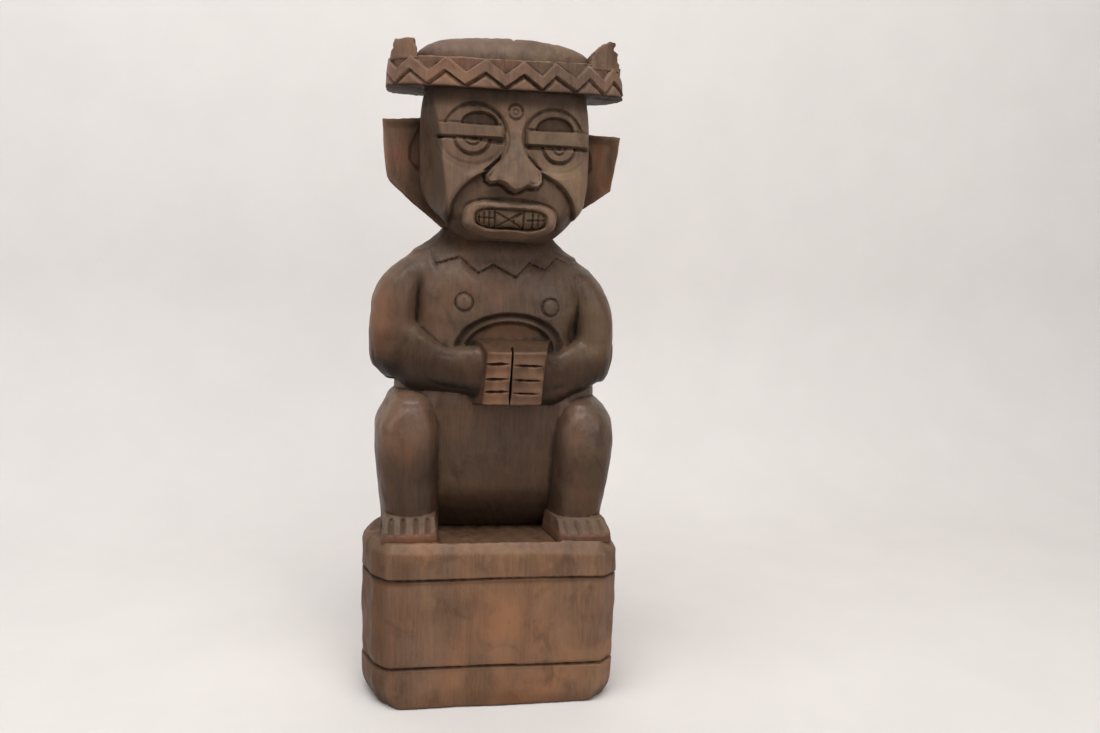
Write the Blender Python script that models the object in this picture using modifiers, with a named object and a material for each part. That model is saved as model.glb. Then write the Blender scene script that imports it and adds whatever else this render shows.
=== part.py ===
"""Carved wooden tiki: a seated figure with a patterned hat, on a block plinth.

The real figure is one block of wood. Here it is cut along its carved creases
into its named members, so that each can be picked, coloured and reused. Left
and right are the figure's own: it faces -Y, so its left is at +X.
"""

import math

import bmesh
import bpy
from mathutils import Vector

MM = 0.001
GAP = 0.3  # mm left between members that touch

# --- overall sizes, in mm ---------------------------------------------------
FRONT_Y, BACK_Y = -56.0, 25.0
RIGHT_X, LEFT_X = -78.0, 71.5
FRONT_FLAT = 61.5  # half width of the plinth's flat front, between its cut corners
PLINTH_TOP = 98.0
GROOVE_LOW_Z = 24.0
GROOVE_HIGH_Z = 77.7
NECK_Z = 264.0
BRIM_BOTTOM = 347.5
BRIM_TOP = 364.0
CROWN_TOP = 378.3
MIDDLE_X, MIDDLE_Y = (RIGHT_X + LEFT_X) / 2, (FRONT_Y + BACK_Y) / 2
HAND_SEAM_X = 6.4
FACE_X = 3.5  # the face is carved a little to the figure's left
ZIGZAGS = 18  # zigzag repeats round the hat


# --- scene and materials ----------------------------------------------------
for old in list(bpy.data.objects):
    bpy.data.objects.remove(old, do_unlink=True)
parts = bpy.data.collections.new("Tiki_Figure")
cutters = bpy.data.collections.new("Cutters")
bpy.context.scene.collection.children.link(parts)
bpy.context.scene.collection.children.link(cutters)
cutters.hide_render = True


def wood(name, colour, roughness):
    mat = bpy.data.materials.new(name)
    mat.use_nodes = True
    shader = mat.node_tree.nodes["Principled BSDF"]
    shader.inputs["Base Color"].default_value = (*colour, 1.0)
    shader.inputs["Roughness"].default_value = roughness
    shader.inputs["Metallic"].default_value = 0.0
    mat.diffuse_color = (*colour, 1.0)
    return mat


PLINTH_WOOD = (0.155, 0.083, 0.050)
BODY_WOOD = (0.120, 0.070, 0.045)
FACE_WOOD = (0.140, 0.090, 0.063)
WORN_WOOD = (0.230, 0.120, 0.066)
HAT_WOOD = (0.105, 0.064, 0.044)
DEEP_WOOD = (0.060, 0.037, 0.027)


# --- shape helpers ----------------------------------------------------------
def make(name, verts, faces, colour=None, roughness=0.55, smooth=True):
    """An object from points in mm. With a colour it is a node, else a cutter."""
    mesh = bpy.data.meshes.new(name)
    mesh.from_pydata([Vector(v) * MM for v in verts], [], faces)
    shape = bmesh.new()
    shape.from_mesh(mesh)
    bmesh.ops.recalc_face_normals(shape, faces=shape.faces)
    shape.to_mesh(mesh)
    shape.free()
    for poly in mesh.polygons:
        poly.use_smooth = smooth
    obj = bpy.data.objects.new(name, mesh)
    if colour is None:
        cutters.objects.link(obj)
        obj.hide_render = True
        obj.display_type = "WIRE"
    else:
        parts.objects.link(obj)
        mesh.materials.append(wood(name + "_wood", colour, roughness))
    return obj


def spline(keys, count):
    """count rows spread along the rows of keys, through each column smoothly."""
    rows = []
    last = len(keys) - 1
    for i in range(count):
        t = i * last / (count - 1)
        k = min(int(t), last - 1)
        u = t - k
        p0, p1, p2, p3 = (
            keys[max(k - 1, 0)], keys[k], keys[k + 1], keys[min(k + 2, last)],
        )
        row = []
        for a, b, c, d in zip(p0, p1, p2, p3):
            m1, m2 = (c - a) / 2, (d - b) / 2
            row.append(
                (2 * u**3 - 3 * u**2 + 1) * b + (u**3 - 2 * u**2 + u) * m1
                + (3 * u**2 - 2 * u**3) * c + (u**3 - u**2) * m2
            )
        rows.append(row)
    return rows


def power(value, n):
    return math.copysign(abs(value) ** (2.0 / n), value)


def tube_faces(rings, around, closed_loop=False):
    faces = []
    for r in range(rings if closed_loop else rings - 1):
        a, b = r * around, ((r + 1) % rings) * around
        for i in range(around):
            j = (i + 1) % around
            faces.append((a + i, a + j, b + j, b + i))
    if not closed_loop:
        faces.append(tuple(reversed(range(around))))
        faces.append(tuple((rings - 1) * around + i for i in range(around)))
    return faces


def loft(name, keys, around, rings, axis="Z", **look):
    """A solid through rounded sections (station, centre a, centre b, half a,
    half b, squareness). Sections lie across the axis."""
    verts = []
    for s, ca, cb, ha, hb, n in spline(keys, rings):
        for i in range(around):
            t = 2 * math.pi * (i + 0.5) / around
            a = ca + max(ha, 0.5) * power(math.cos(t), n)
            b = cb + max(hb, 0.5) * power(math.sin(t), n)
            verts.append({"Z": (a, b, s), "X": (s, a, b), "Y": (b, s, a)}[axis])
    return make(name, verts, tube_faces(rings, around), **look)


def block_outline(inset):
    """Plan of the block: a flat front with cut corners, and a log's round back."""
    half_w, side_y = (LEFT_X - RIGHT_X) / 2, -28.0
    points = [(-71.0, -47.0), (-FRONT_FLAT, FRONT_Y), (FRONT_FLAT, FRONT_Y), (70.6, -47.0)]
    for k in range(17):
        t = math.pi * k / 16
        points.append((
            MIDDLE_X + half_w * power(math.cos(t), 2.5),
            side_y + (BACK_Y - side_y) * power(math.sin(t), 2.5),
        ))
    shrink_x, shrink_y = 1 - inset / half_w, 1 - inset / (BACK_Y - MIDDLE_Y)
    return [
        (MIDDLE_X + (x - MIDDLE_X) * shrink_x, MIDDLE_Y + (y - MIDDLE_Y) * shrink_y)
        for x, y in points
    ]


def block(name, layers, **look):
    """A block built of level layers (z, inset)."""
    verts = [(x, y, z) for z, inset in layers for x, y in block_outline(inset)]
    return make(name, verts, tube_faces(len(layers), len(block_outline(0))), **look)


def prism(name, outline, y0, y1, **look):
    """A flat outline of (x, z) points, drawn out from y0 to y1."""
    count = len(outline)
    area = sum(
        outline[i][0] * outline[(i + 1) % count][1]
        - outline[(i + 1) % count][0] * outline[i][1] for i in range(count)
    )
    if area < 0:
        outline = outline[::-1]
    verts = [(x, y0, z) for x, z in outline] + [(x, y1, z) for x, z in outline]
    faces = [tuple(range(count)), tuple(reversed(range(count, 2 * count)))]
    for i in range(count):
        j = (i + 1) % count
        faces.append((i, count + i, count + j, j))
    return make(name, verts, faces, **look)


def ring(name, centre, rx, rz, thick_r, thick_y, around, steps, tilt=0.0, **look):
    """An oval ring facing -Y, its bead thick_r by thick_y (half sizes)."""
    verts = []
    ct, st = math.cos(tilt), math.sin(tilt)
    for i in range(around):
        t = 2 * math.pi * i / around
        for k in range(steps):
            p = 2 * math.pi * k / steps
            bx = (rx + thick_r * math.cos(p)) * math.cos(t)
            bz = (rz + thick_r * math.cos(p)) * math.sin(t)
            verts.append((
                centre[0] + bx * ct - bz * st,
                centre[1] + thick_y * math.sin(p),
                centre[2] + bx * st + bz * ct,
            ))
    return make(name, verts, tube_faces(around, steps, True), **look)


def ball(name, centre, half, around, rings, **look):
    cx, cy, cz = centre
    hx, hy, hz = half
    verts, faces = [(cx, cy, cz - hz)], []
    for r in range(1, rings):
        p = math.pi * r / rings
        for i in range(around):
            t = 2 * math.pi * i / around
            verts.append((
                cx + hx * math.sin(p) * math.cos(t),
                cy + hy * math.sin(p) * math.sin(t),
                cz - hz * math.cos(p),
            ))
    verts.append((cx, cy, cz + hz))
    for i in range(around):
        j = (i + 1) % around
        faces.append((0, 1 + j, 1 + i))
        for r in range(rings - 2):
            a, b = 1 + r * around, 1 + (r + 1) * around
            faces.append((a + i, a + j, b + j, b + i))
        top = 1 + (rings - 2) * around
        faces.append((len(verts) - 1, top + i, top + j))
    return make(name, verts, faces, **look)


def swollen(obj, by=GAP):
    """A cutter of the same shape, standing proud of it by a little."""
    name = f"{obj.name}_plus_{by:.1f}"
    if name in bpy.data.objects:
        return bpy.data.objects[name]
    copy = bpy.data.objects.new(name, obj.data)
    cutters.objects.link(copy)
    copy.hide_render = True
    copy.display_type = "WIRE"
    push = copy.modifiers.new("Swell", "DISPLACE")
    push.direction = "NORMAL"
    push.mid_level = 0.0
    push.strength = by * MM
    return copy


def boolean(obj, other, operation="DIFFERENCE"):
    mod = obj.modifiers.new(operation.title(), "BOOLEAN")
    mod.operation = operation
    mod.solver = "EXACT"
    mod.use_self = True
    mod.object = other
    return mod


def settle(obj):
    """Turns obj's modifiers into its own mesh."""
    graph = bpy.context.evaluated_depsgraph_get()
    mesh = bpy.data.meshes.new_from_object(obj.evaluated_get(graph))
    obj.modifiers.clear()
    obj.data = mesh
    shape = bmesh.new()
    shape.from_mesh(mesh)
    bmesh.ops.remove_doubles(shape, verts=shape.verts, dist=0.00002)
    bmesh.ops.recalc_face_normals(shape, faces=shape.faces)
    shape.to_mesh(mesh)
    shape.free()


def make_way(obj, *neighbours):
    """Cuts obj back so that it lies against each neighbour, a gap away."""
    for other in neighbours:
        boolean(obj, swollen(other))


def relief(obj, host, proud):
    """Keeps the part of obj that lies on host's surface, as a raised skin."""
    boolean(obj, swollen(host, proud), "INTERSECT")
    boolean(obj, swollen(host, GAP))


SIDES = (("left", 1), ("right", -1))

# --- plinth -----------------------------------------------------------------
plinth = block("plinth", [
    (0.0, 3.0), (6.0, 1.4), (14.0, 0.8), (GROOVE_LOW_Z - 1.6, 0.5), (GROOVE_LOW_Z, 2.3),
    (GROOVE_LOW_Z + 1.6, 0.4), (52.0, 0.2), (GROOVE_HIGH_Z - 1.6, 0.0), (GROOVE_HIGH_Z, 1.9),
    (GROOVE_HIGH_Z + 1.6, 0.0), (91.5, 0.2), (PLINTH_TOP - 0.6, 5.0), (PLINTH_TOP, 5.6),
], colour=PLINTH_WOOD, roughness=0.5, smooth=False)
dish = ball("Plinth_dish", (0, -30, PLINTH_TOP + 6), (38, 24, 8.6), 24, 12)
boolean(plinth, dish)

# --- torso ------------------------------------------------------------------
FLOOR = PLINTH_TOP + GAP
torso = loft("torso", [
    (FLOOR, 0, -1, 47, 17, 3.0), (118.0, 0, -5, 53.5, 24, 3.0),
    (140.0, 0, -6, 57, 27, 3.0), (160.0, 0, -6.5, 59, 27.5, 3.0),
    (178.0, 0, -6.5, 60, 26.5, 3.0), (195.0, 0, -6, 59, 24, 3.0),
    (212.0, 0, -6.5, 57, 24.5, 3.0), (228.0, 0, -7, 57, 26.5, 2.9),
    (240.0, -0.5, -7.5, 56, 25.5, 2.7), (249.0, -2, -7, 54.5, 23.5, 2.5),
    (257.0, -3, -7.5, 49, 19.5, 2.3), (NECK_Z, -2, -7.5, 41, 16.5, 2.2),
    (NECK_Z + 8, 0, -6, 33, 15, 2.2),
], 30, 14, colour=BODY_WOOD)

# --- legs and feet ----------------------------------------------------------
legs, feet = {}, {}
for side, s in SIDES:
    foot = loft(f"{side}_foot", [
        (-50.5, 104.0, s * 50, 5.2, 13.0, 3.2), (-48, 104.4, s * 50, 6.0, 15.6, 3.6),
        (-38, 106.3, s * 50, 8.0, 16.0, 3.8), (-24, 108.3, s * 50, 10.0, 15.6, 3.6),
        (-4, 108.3, s * 50, 10.0, 15.0, 3.4),
    ], 24, 8, axis="Y", colour=PLINTH_WOOD)
    toes = []
    for k in (-2, -1, 0, 1):
        x = s * 50 + (k + 0.5) * 6.3
        toe = prism(f"{side}_toe_gap_{k + 3}", [
            (x - 0.9, 116), (x, 98.9), (x + 0.9, 116),
        ], -54, -42.5)
        toes.append(toe)
    leg = loft(f"{side}_leg", [
        (FLOOR, s * 50, -15, 16.4, 23, 3.0), (112, s * 50, -15.5, 17.0, 24, 3.0),
        (130, s * 50, -15.5, 18.8, 25.5, 3.0), (150, s * 50.6, -15, 20.0, 26.5, 2.9),
        (161, s * 50.6, -14.8, 19.4, 26.8, 2.8), (171, s * 50, -13.8, 16.0, 24, 2.5),
        (178, s * 49.5, -11.5, 10.5, 18, 2.3), (181, s * 49, -9, 4.5, 11, 2.0),
    ], 24, 12, colour=BODY_WOOD, roughness=0.42)
    base_cut = make(
        f"{side}_foot_floor",
        [(s * 50 + x, y, z) for z in (90, FLOOR) for x, y in
         ((-30, -70), (30, -70), (30, 20), (-30, 20))],
        [(3, 2, 1, 0), (4, 5, 6, 7), (0, 1, 5, 4), (1, 2, 6, 5), (2, 3, 7, 6), (3, 0, 4, 7)],
        smooth=False,
    )
    boolean(foot, base_cut)
    make_way(foot, leg)
    for toe in toes:
        boolean(foot, toe)
    make_way(leg, torso)
    legs[side], feet[side] = leg, foot
    make_way(foot, torso)

# --- arms and hands ---------------------------------------------------------
# forearm sections: (x, centre y, centre z, half y, half z, squareness)
FOREARM_KEYS = {
    "right": [
        (-70, -6, 202, 7, 8, 2.2), (-66, -8, 201, 13, 13, 2.4), (-58, -11, 200.5, 15.5, 16.5, 2.6),
        (-45, -16.5, 198.5, 16.5, 19, 2.7), (-31, -23.5, 194.5, 14, 14.8, 2.5),
        (-13, -29, 193.5, 12.5, 15, 2.6),
    ],
    "left": [
        (25.5, -28, 190.5, 12.5, 15.5, 2.6), (35, -23.5, 190.5, 14, 15.8, 2.5),
        (45, -17, 193.7, 16, 16, 2.6), (55, -12, 196.3, 16, 14.8, 2.6),
        (64.5, -8.5, 197, 13.5, 12, 2.4), (69.5, -6, 197, 7, 7.5, 2.2),
    ],
}
hands, forearms, upper_arms = {}, {}, {}
for side, s in SIDES:
    outer = HAND_SEAM_X + s * 19.6
    mid = (outer + HAND_SEAM_X + s * 0.15) / 2
    half = abs(outer - HAND_SEAM_X) / 2 - 0.15
    hand = loft(f"{side}_hand", [
        (176.5, mid, -38, half - 2.5, 6.0, 3.2), (179, mid, -38.5, half - 0.6, 8.2, 3.6),
        (190, mid, -38.5, half, 9.2, 4.0), (202, mid, -38, half, 9.0, 4.0),
        (208, mid, -36.5, half - 1.0, 7.6, 3.6), (211, mid, -34.5, half - 3.0, 5.0, 3.0),
    ], 24, 9, colour=WORN_WOOD, roughness=0.45)
    for k, z in enumerate((183.8, 191.6, 199.4)):
        x0, x1 = sorted((HAND_SEAM_X - s * 1.0, outer + s * 2.0))
        groove = make(f"{side}_finger_gap_{k + 1}", [
            (x0, -52, z - 1.5), (x0, -52, z + 1.5), (x0, -44.6, z),
            (x1, -52, z - 1.5), (x1, -52, z + 1.5), (x1, -44.6, z),
        ], [(0, 2, 1), (3, 4, 5), (0, 1, 4, 3), (1, 2, 5, 4), (2, 0, 3, 5)], smooth=False)
        boolean(hand, groove)
    forearm = loft(f"{side}_forearm", FOREARM_KEYS[side], 24, 10, axis="X",
                   colour=BODY_WOOD, roughness=0.42)
    at = s * 59.0 - 1.4  # both arms stand a little to the figure's right
    upper = loft(f"{side}_upper_arm", [
        (185.0, at + s * 1.0, -5, 5.5, 8.0, 2.2), (191.0, at + s * 0.5, -6, 10.0, 13.5, 2.5),
        (206.0, at - s * 0.2, -7.5, 13.6, 17.5, 2.6), (222.0, at - s * 0.8, -7.8, 13.8, 18.2, 2.6),
        (236.0, at - s * 3.5, -7.5, 13.8, 17.5, 2.5), (246.0, at - s * 8.0, -6.5, 13.0, 15.0, 2.4),
        (252.5, at - s * 12.5, -6, 10.5, 11.5, 2.2), (257.0, at - s * 17.0, -5, 5.5, 7.0, 2.0),
    ], 22, 10, colour=BODY_WOOD)
    make_way(hand, torso)
    make_way(forearm, torso, hand)
    make_way(upper, torso, forearm)
    hands[side], forearms[side], upper_arms[side] = hand, forearm, upper
for side, s in SIDES:
    make_way(legs[side], forearms[side])

# --- chest carving ----------------------------------------------------------
for side, s in SIDES:
    nipple = loft(f"{side}_nipple", [
        (-37.5, 233, FACE_X + s * 25, 2.2, 2.2, 2.0), (-36.6, 233, FACE_X + s * 25, 4.2, 4.2, 2.0),
        (-34.5, 233, FACE_X + s * 25, 4.6, 4.6, 2.0), (-26, 233, FACE_X + s * 25, 4.6, 4.6, 2.0),
    ], 16, 5, axis="Y", colour=BODY_WOOD)
    make_way(nipple, torso)

arch = []
for k in range(13):
    t = math.radians(180 * k / 12)
    arch.append((5.0 - 29.0 * math.cos(t), 210.5 + 18.0 * math.sin(t) ** 0.8))
for k in range(13):
    t = math.radians(180 - 180 * k / 12)
    arch.append((5.0 - 23.5 * math.cos(t), 210.5 + 12.4 * math.sin(t) ** 0.8))
rib_arch = prism("rib_arch", arch, -60, -12, colour=BODY_WOOD, smooth=False)
relief(rib_arch, torso, 1.9)
make_way(rib_arch, *forearms.values())

# --- head -------------------------------------------------------------------
HEAD_FLOOR = NECK_Z + 3
head = loft("head", [
    (HEAD_FLOOR, 2.5, -13, 24.0, 20, 2.8), (274.0, 2.5, -13, 32.0, 27, 3.2),
    (285.0, 2, -12, 41.5, 29.7, 3.4), (300.0, 1, -11.7, 46.0, 30.8, 3.5),
    (318.0, 0.5, -11.5, 47.2, 31.3, 3.5), (335.0, 0.3, -11.5, 46.6, 31.5, 3.5),
    (BRIM_BOTTOM - GAP, 0, -11.8, 44.6, 31.0, 3.5),
], 32, 12, colour=FACE_WOOD, roughness=0.6)
for side, s in SIDES:
    cheek = ball(f"{side}_cheek_hollow", (FACE_X + s * 24, -49, 304), (14, 8.5, 17), 20, 12)
    boolean(head, cheek)
    socket = ball(f"{side}_eye_hollow", (FACE_X + s * 24.5, -47, 325), (17, 6.5, 15), 20, 12)
    boolean(head, socket)
settle(head)
make_way(head, torso)

nose = loft("nose", [
    (294.6, FACE_X - 0.5, -40, 6.0, 10.0, 2.2), (298.0, FACE_X, -40, 13.0, 13.0, 2.4),
    (303.0, FACE_X, -40, 14.0, 13.5, 2.4), (309.0, FACE_X, -40, 10.0, 12.0, 2.2),
    (319.0, FACE_X, -40, 6.2, 8.2, 2.1), (329.0, FACE_X, -40, 6.0, 6.0, 2.0),
    (336.5, FACE_X, -40, 8.5, 5.0, 2.0),
], 18, 10, colour=FACE_WOOD)
make_way(nose, head)

mouth_tilt = math.radians(1.5)
lips = ring("lip_ring", (FACE_X, -42.0, 279.2), 22.2, 8.6, 2.7, 5.6, 28, 8,
            colour=FACE_WOOD)
teeth = loft("teeth", [
    (-30.0, 279.2, FACE_X, 7.2, 20.5, 2.2), (-44.0, 279.2, FACE_X, 7.0, 20.3, 2.2),
    (-45.2, 279.2, FACE_X, 6.4, 19.5, 2.2),
][::-1], 28, 4, axis="Y", colour=DEEP_WOOD)
make_way(teeth, head, lips)
for k in range(7):
    x = FACE_X + (k - 3) * 5.0
    cut = make(f"Tooth_gap_{k + 1}", [
        (x - 0.8, -48, 270), (x + 0.8, -48, 270), (x, -43.4, 270),
        (x - 0.8, -48, 289), (x + 0.8, -48, 289), (x, -43.4, 289),
    ], [(0, 2, 1), (3, 4, 5), (0, 1, 4, 3), (1, 2, 5, 4), (2, 0, 3, 5)], smooth=False)
    boolean(teeth, cut)
make_way(lips, head)

for side, s in SIDES:
    ex, ez = FACE_X + s * 24.2, 325.0 - s * 1.4
    lid = loft(f"{side}_eyelid", [
        (ex - 16.2, -39.6, ez, 4.0, 2.4, 3.0), (ex - 13.5, -40.2, ez, 5.6, 3.1, 3.2),
        (ex, -41.0, ez, 6.0, 3.2, 3.2), (ex + 13.5, -40.2, ez, 5.6, 3.1, 3.2),
        (ex + 16.2, -39.6, ez, 4.0, 2.4, 3.0),
    ], 14, 7, axis="X", colour=FACE_WOOD)
    eye = ball(f"{side}_eye", (ex, -38.0, ez - 4.5), (8.6, 7.4, 7.0), 18, 10,
               colour=FACE_WOOD)
    brow = []
    for k in range(13):
        t = math.radians(180 * k / 12)
        brow.append((ex - 16.4 * math.cos(t), ez + 2.0 + 14.0 * math.sin(t)))
    for k in range(13):
        t = math.radians(180 - 180 * k / 12)
        brow.append((ex - 12.0 * math.cos(t), ez + 3.6 + 8.6 * math.sin(t)))
    brow = prism(f"{side}_brow", brow, -46.0, -30.0, colour=FACE_WOOD, smooth=False)
    make_way(lid, head, nose)
    make_way(eye, head, lid)
    make_way(brow, head, nose, lid, eye)

boss = loft("forehead_boss", [
    (-46.4, 341.0, FACE_X, 1.6, 1.6, 2.0), (-45.6, 341.0, FACE_X, 3.6, 3.6, 2.0),
    (-44.0, 341.0, FACE_X, 4.0, 4.0, 2.0), (-38.0, 341.0, FACE_X, 4.0, 4.0, 2.0),
], 16, 5, axis="Y", colour=FACE_WOOD)
make_way(boss, head, nose)

for side, s in SIDES:
    shape = [
        (40, 335), (69.5, 333), (70.2, 327), (69.4, 315), (66.5, 303), (61.5, 294),
        (52, 285.5), (40, 277.5), (34, 276), (34, 300),
    ]
    ear = prism(f"{side}_ear", [(s * x, z - (1.5 if s > 0 else 0)) for x, z in shape],
                -17, -3, colour=FACE_WOOD, smooth=False)
    soften = ear.modifiers.new("Soften", "BEVEL")
    soften.width = 1.2 * MM
    soften.segments = 2
    soften.limit_method = "ANGLE"
    bowl = ball(f"{side}_ear_bowl", (s * 56.5, -23, 313), (10.0, 10.5, 17.0), 18, 12)
    boolean(ear, bowl)
    make_way(ear, head)

# --- collar: a raised zigzag-edged yoke at the base of the neck ---------------
collar = prism("collar", [
    (-56, 257), (-52.7, 259), (-41.5, 261.5), (-38.7, 254.5), (-25.3, 259), (-18.3, 251),
    (-5, 255.3), (7.3, 248), (15.7, 256.3), (25.3, 251.5), (33, 258), (43, 254), (56, 256),
    (56, NECK_Z + 7), (-56, NECK_Z + 7),
], -48, -20.5, colour=BODY_WOOD, smooth=False)
relief(collar, torso, 1.8)
make_way(collar, head)


# --- hat --------------------------------------------------------------------
def hat_plan(t, hx, hy):
    """The hat's outline: nearly square in front, round behind."""
    n = 5.0 if math.sin(t) < 0 else 2.6
    return hx * power(math.cos(t), n), MIDDLE_Y + hy * power(math.sin(t), n)


def hat_layers(layers, around):
    """Points and faces of a solid made of hat outlines (z, half x, half y)."""
    verts = []
    for z, hx, hy in layers:
        for i in range(around):
            verts.append((*hat_plan(2 * math.pi * (i + 0.5) / around, hx, hy), z))
    return verts, tube_faces(len(layers), around)


brim = make("hat_brim", *hat_layers([
    (BRIM_BOTTOM, 64.8, 32.8), (BRIM_BOTTOM + 1.0, 65.6, 33.6), (BRIM_BOTTOM + 6.0, 64.4, 32.4),
    (BRIM_BOTTOM + 11.0, 63.6, 31.6), (BRIM_TOP - 1.5, 64.4, 32.4), (BRIM_TOP, 63.2, 31.2),
], 48), colour=HAT_WOOD)


def zigzag_band():
    """A raised strip that zigzags round the brim, standing a gap clear of it."""
    fine = [2 * math.pi * k / 1440 for k in range(1441)]
    spots = [hat_plan(t, 65.0, 33.0) for t in fine]
    length = [0.0]
    for a, b in zip(spots, spots[1:]):
        length.append(length[-1] + math.hypot(b[0] - a[0], b[1] - a[1]))
    verts, columns, k = [], 4 * ZIGZAGS, 0
    for c in range(columns):
        target = length[-1] * c / columns
        while length[k + 1] < target:
            k += 1
        t = fine[k] + (fine[k + 1] - fine[k]) * (target - length[k]) / (length[k + 1] - length[k])
        rise = (0.0, 0.5, 1.0, 0.5)[c % 4]
        zc = BRIM_BOTTOM + 4.6 + 7.0 * rise
        for hx, hy, z in (
            (60.0, 28.0, zc - 3.4), (66.2, 34.2, zc - 3.4),
            (65.4, 33.4, zc + 3.4), (60.0, 28.0, zc + 3.4),
        ):
            verts.append((*hat_plan(t, hx, hy), z))
    return verts, tube_faces(columns, 4, True)


band = make("hat_zigzag_band", *zigzag_band(), colour=HAT_WOOD, smooth=False)
make_way(band, brim)

crown = loft("hat_crown", [
    (BRIM_TOP + GAP, -0.5, MIDDLE_Y, 49.5, 26.5, 2.7), (368.0, -0.5, MIDDLE_Y, 48.8, 25.5, 2.6),
    (372.5, 0, MIDDLE_Y, 45.0, 22.5, 2.5), (376.3, 1, MIDDLE_Y, 36.0, 16.0, 2.3),
    (CROWN_TOP, 3, MIDDLE_Y, 20.0, 8.0, 2.0),
], 28, 8, colour=HAT_WOOD)
LUG_FRONT, LUG_BACK = -46.5, -22.0
left_lug = prism("hat_left_lug", [
    (43.5, BRIM_TOP + GAP), (46.0, 371.0), (50.5, 375.0), (54.0, 376.2), (57.6, 376.4),
    (57.0, 372.2), (60.0, 371.0), (59.6, 366.6), (61.4, 365.9), (61.4, BRIM_TOP + GAP),
], LUG_FRONT, LUG_BACK, colour=HAT_WOOD, smooth=False)
right_lug = prism("hat_right_lug", [
    (-48.6, BRIM_TOP + GAP), (-49.4, 366.0), (-50.6, 371.4), (-60.4, 371.0),
    (-60.8, 367.2), (-62.6, 365.6), (-62.6, BRIM_TOP + GAP),
], LUG_FRONT, LUG_BACK, colour=HAT_WOOD, smooth=False)
for lug in (left_lug, right_lug):
    soften = lug.modifiers.new("Soften", "BEVEL")
    soften.width = 0.8 * MM
    soften.segments = 2
    soften.limit_method = "ANGLE"
    make_way(lug, crown)

# --- the middle of the base goes to the world's origin --------------------------
base = bpy.data.objects.new("Tiki_base", None)
base.location = (-MIDDLE_X * MM, -MIDDLE_Y * MM, 0)
parts.objects.link(base)
for obj in [*parts.objects, *cutters.objects]:
    if obj is not base:
        obj.parent = base
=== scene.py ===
"""Carved wooden tiki: the detailed visual model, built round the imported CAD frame.

Every carved member is described in millimetres as a field that is negative
inside the wood. The members are blended where the carving flows and left to
meet in a crease where the gouge stopped. Fine carving is cut into the fields
as relief. Each field is then turned into a dense closed mesh that stands for
its CAD nodes. The figure faces -Y.
"""

import math

import bpy
import numpy as np
from mathutils import Matrix, Vector


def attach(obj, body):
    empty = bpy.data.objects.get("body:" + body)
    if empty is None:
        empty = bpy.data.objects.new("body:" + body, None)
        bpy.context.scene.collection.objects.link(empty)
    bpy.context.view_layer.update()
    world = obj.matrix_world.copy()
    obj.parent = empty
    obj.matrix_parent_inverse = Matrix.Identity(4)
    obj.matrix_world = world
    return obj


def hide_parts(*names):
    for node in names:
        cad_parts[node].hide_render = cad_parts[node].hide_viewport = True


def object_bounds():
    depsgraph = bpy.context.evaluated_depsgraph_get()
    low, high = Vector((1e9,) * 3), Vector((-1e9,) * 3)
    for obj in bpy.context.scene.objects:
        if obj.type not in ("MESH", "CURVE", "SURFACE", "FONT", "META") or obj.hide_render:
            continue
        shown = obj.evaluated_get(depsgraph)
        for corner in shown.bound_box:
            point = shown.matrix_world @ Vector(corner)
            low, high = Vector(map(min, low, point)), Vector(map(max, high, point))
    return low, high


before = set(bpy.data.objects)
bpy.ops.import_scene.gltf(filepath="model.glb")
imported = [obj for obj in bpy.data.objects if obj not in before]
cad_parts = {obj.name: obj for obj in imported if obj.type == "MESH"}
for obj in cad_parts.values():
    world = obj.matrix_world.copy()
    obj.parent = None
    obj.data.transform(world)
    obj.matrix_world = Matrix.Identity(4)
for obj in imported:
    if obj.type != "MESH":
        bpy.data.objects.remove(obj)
cad_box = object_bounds()

MM = 0.001
F32 = np.float32
SIDES = ((-1, "right"), (1, "left"))  # the figure's own sides, by the sign of x
# the block's plan is drawn with its front at y -56; the shift moves its middle to the origin
MIDDLE_X, MIDDLE_Y = -3.25, -15.5
SHIFT = np.array([-MIDDLE_X, -MIDDLE_Y, 0.0])
LOW, HIGH = (np.array([float(v) for v in corner]) / MM for corner in cad_box)
BOX_MARGIN = 0.05  # how far the visual model stays inside the CAD model's box
PLINTH_TOP = 98.0


# --- small field tools --------------------------------------------------------
def smin(a, b, k):
    h = np.clip(0.5 + 0.5 * (b - a) / k, 0, 1)
    return b * (1 - h) + a * h - k * h * (1 - h)


def smax(a, b, k):
    return -smin(-a, -b, k)


def ease(v, w):
    """0 below -w, 1 above w, smooth between."""
    t = np.clip(v / (2 * w) + 0.5, 0, 1)
    return t * t * (3 - 2 * t)


def bump(v, w):
    """A soft hill 1 high and about w wide each way."""
    return np.exp(-((v / w) ** 2))


def vee(d, w):
    return np.clip(1 - np.abs(d) / w, 0, 1)


def near(x, z, cx, cz):
    """Distance, seen from the front, to a point."""
    return np.sqrt((x - cx) ** 2 + (z - cz) ** 2)


def rows(keys, s):
    """The columns of keys, read smoothly at s (a Hermite spline through the rows)."""
    k = np.asarray(keys, float)
    t = k[:, 0]
    slope = np.gradient(k[:, 1:], t, axis=0)
    s = np.clip(s, t[0], t[-1])
    i = np.clip(np.searchsorted(t, s, "right") - 1, 0, len(t) - 2)
    w = t[i + 1] - t[i]
    u = (s - t[i]) / w
    out = []
    for c in range(k.shape[1] - 1):
        a, b = k[i, c + 1], k[i + 1, c + 1]
        ma, mb = slope[i, c] * w, slope[i + 1, c] * w
        v = ((2 * u**3 - 3 * u**2 + 1) * a + (u**3 - 2 * u**2 + u) * ma
             + (3 * u**2 - 2 * u**3) * b + (u**3 - u**2) * mb)
        out.append(v.astype(F32))
    return out


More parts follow.
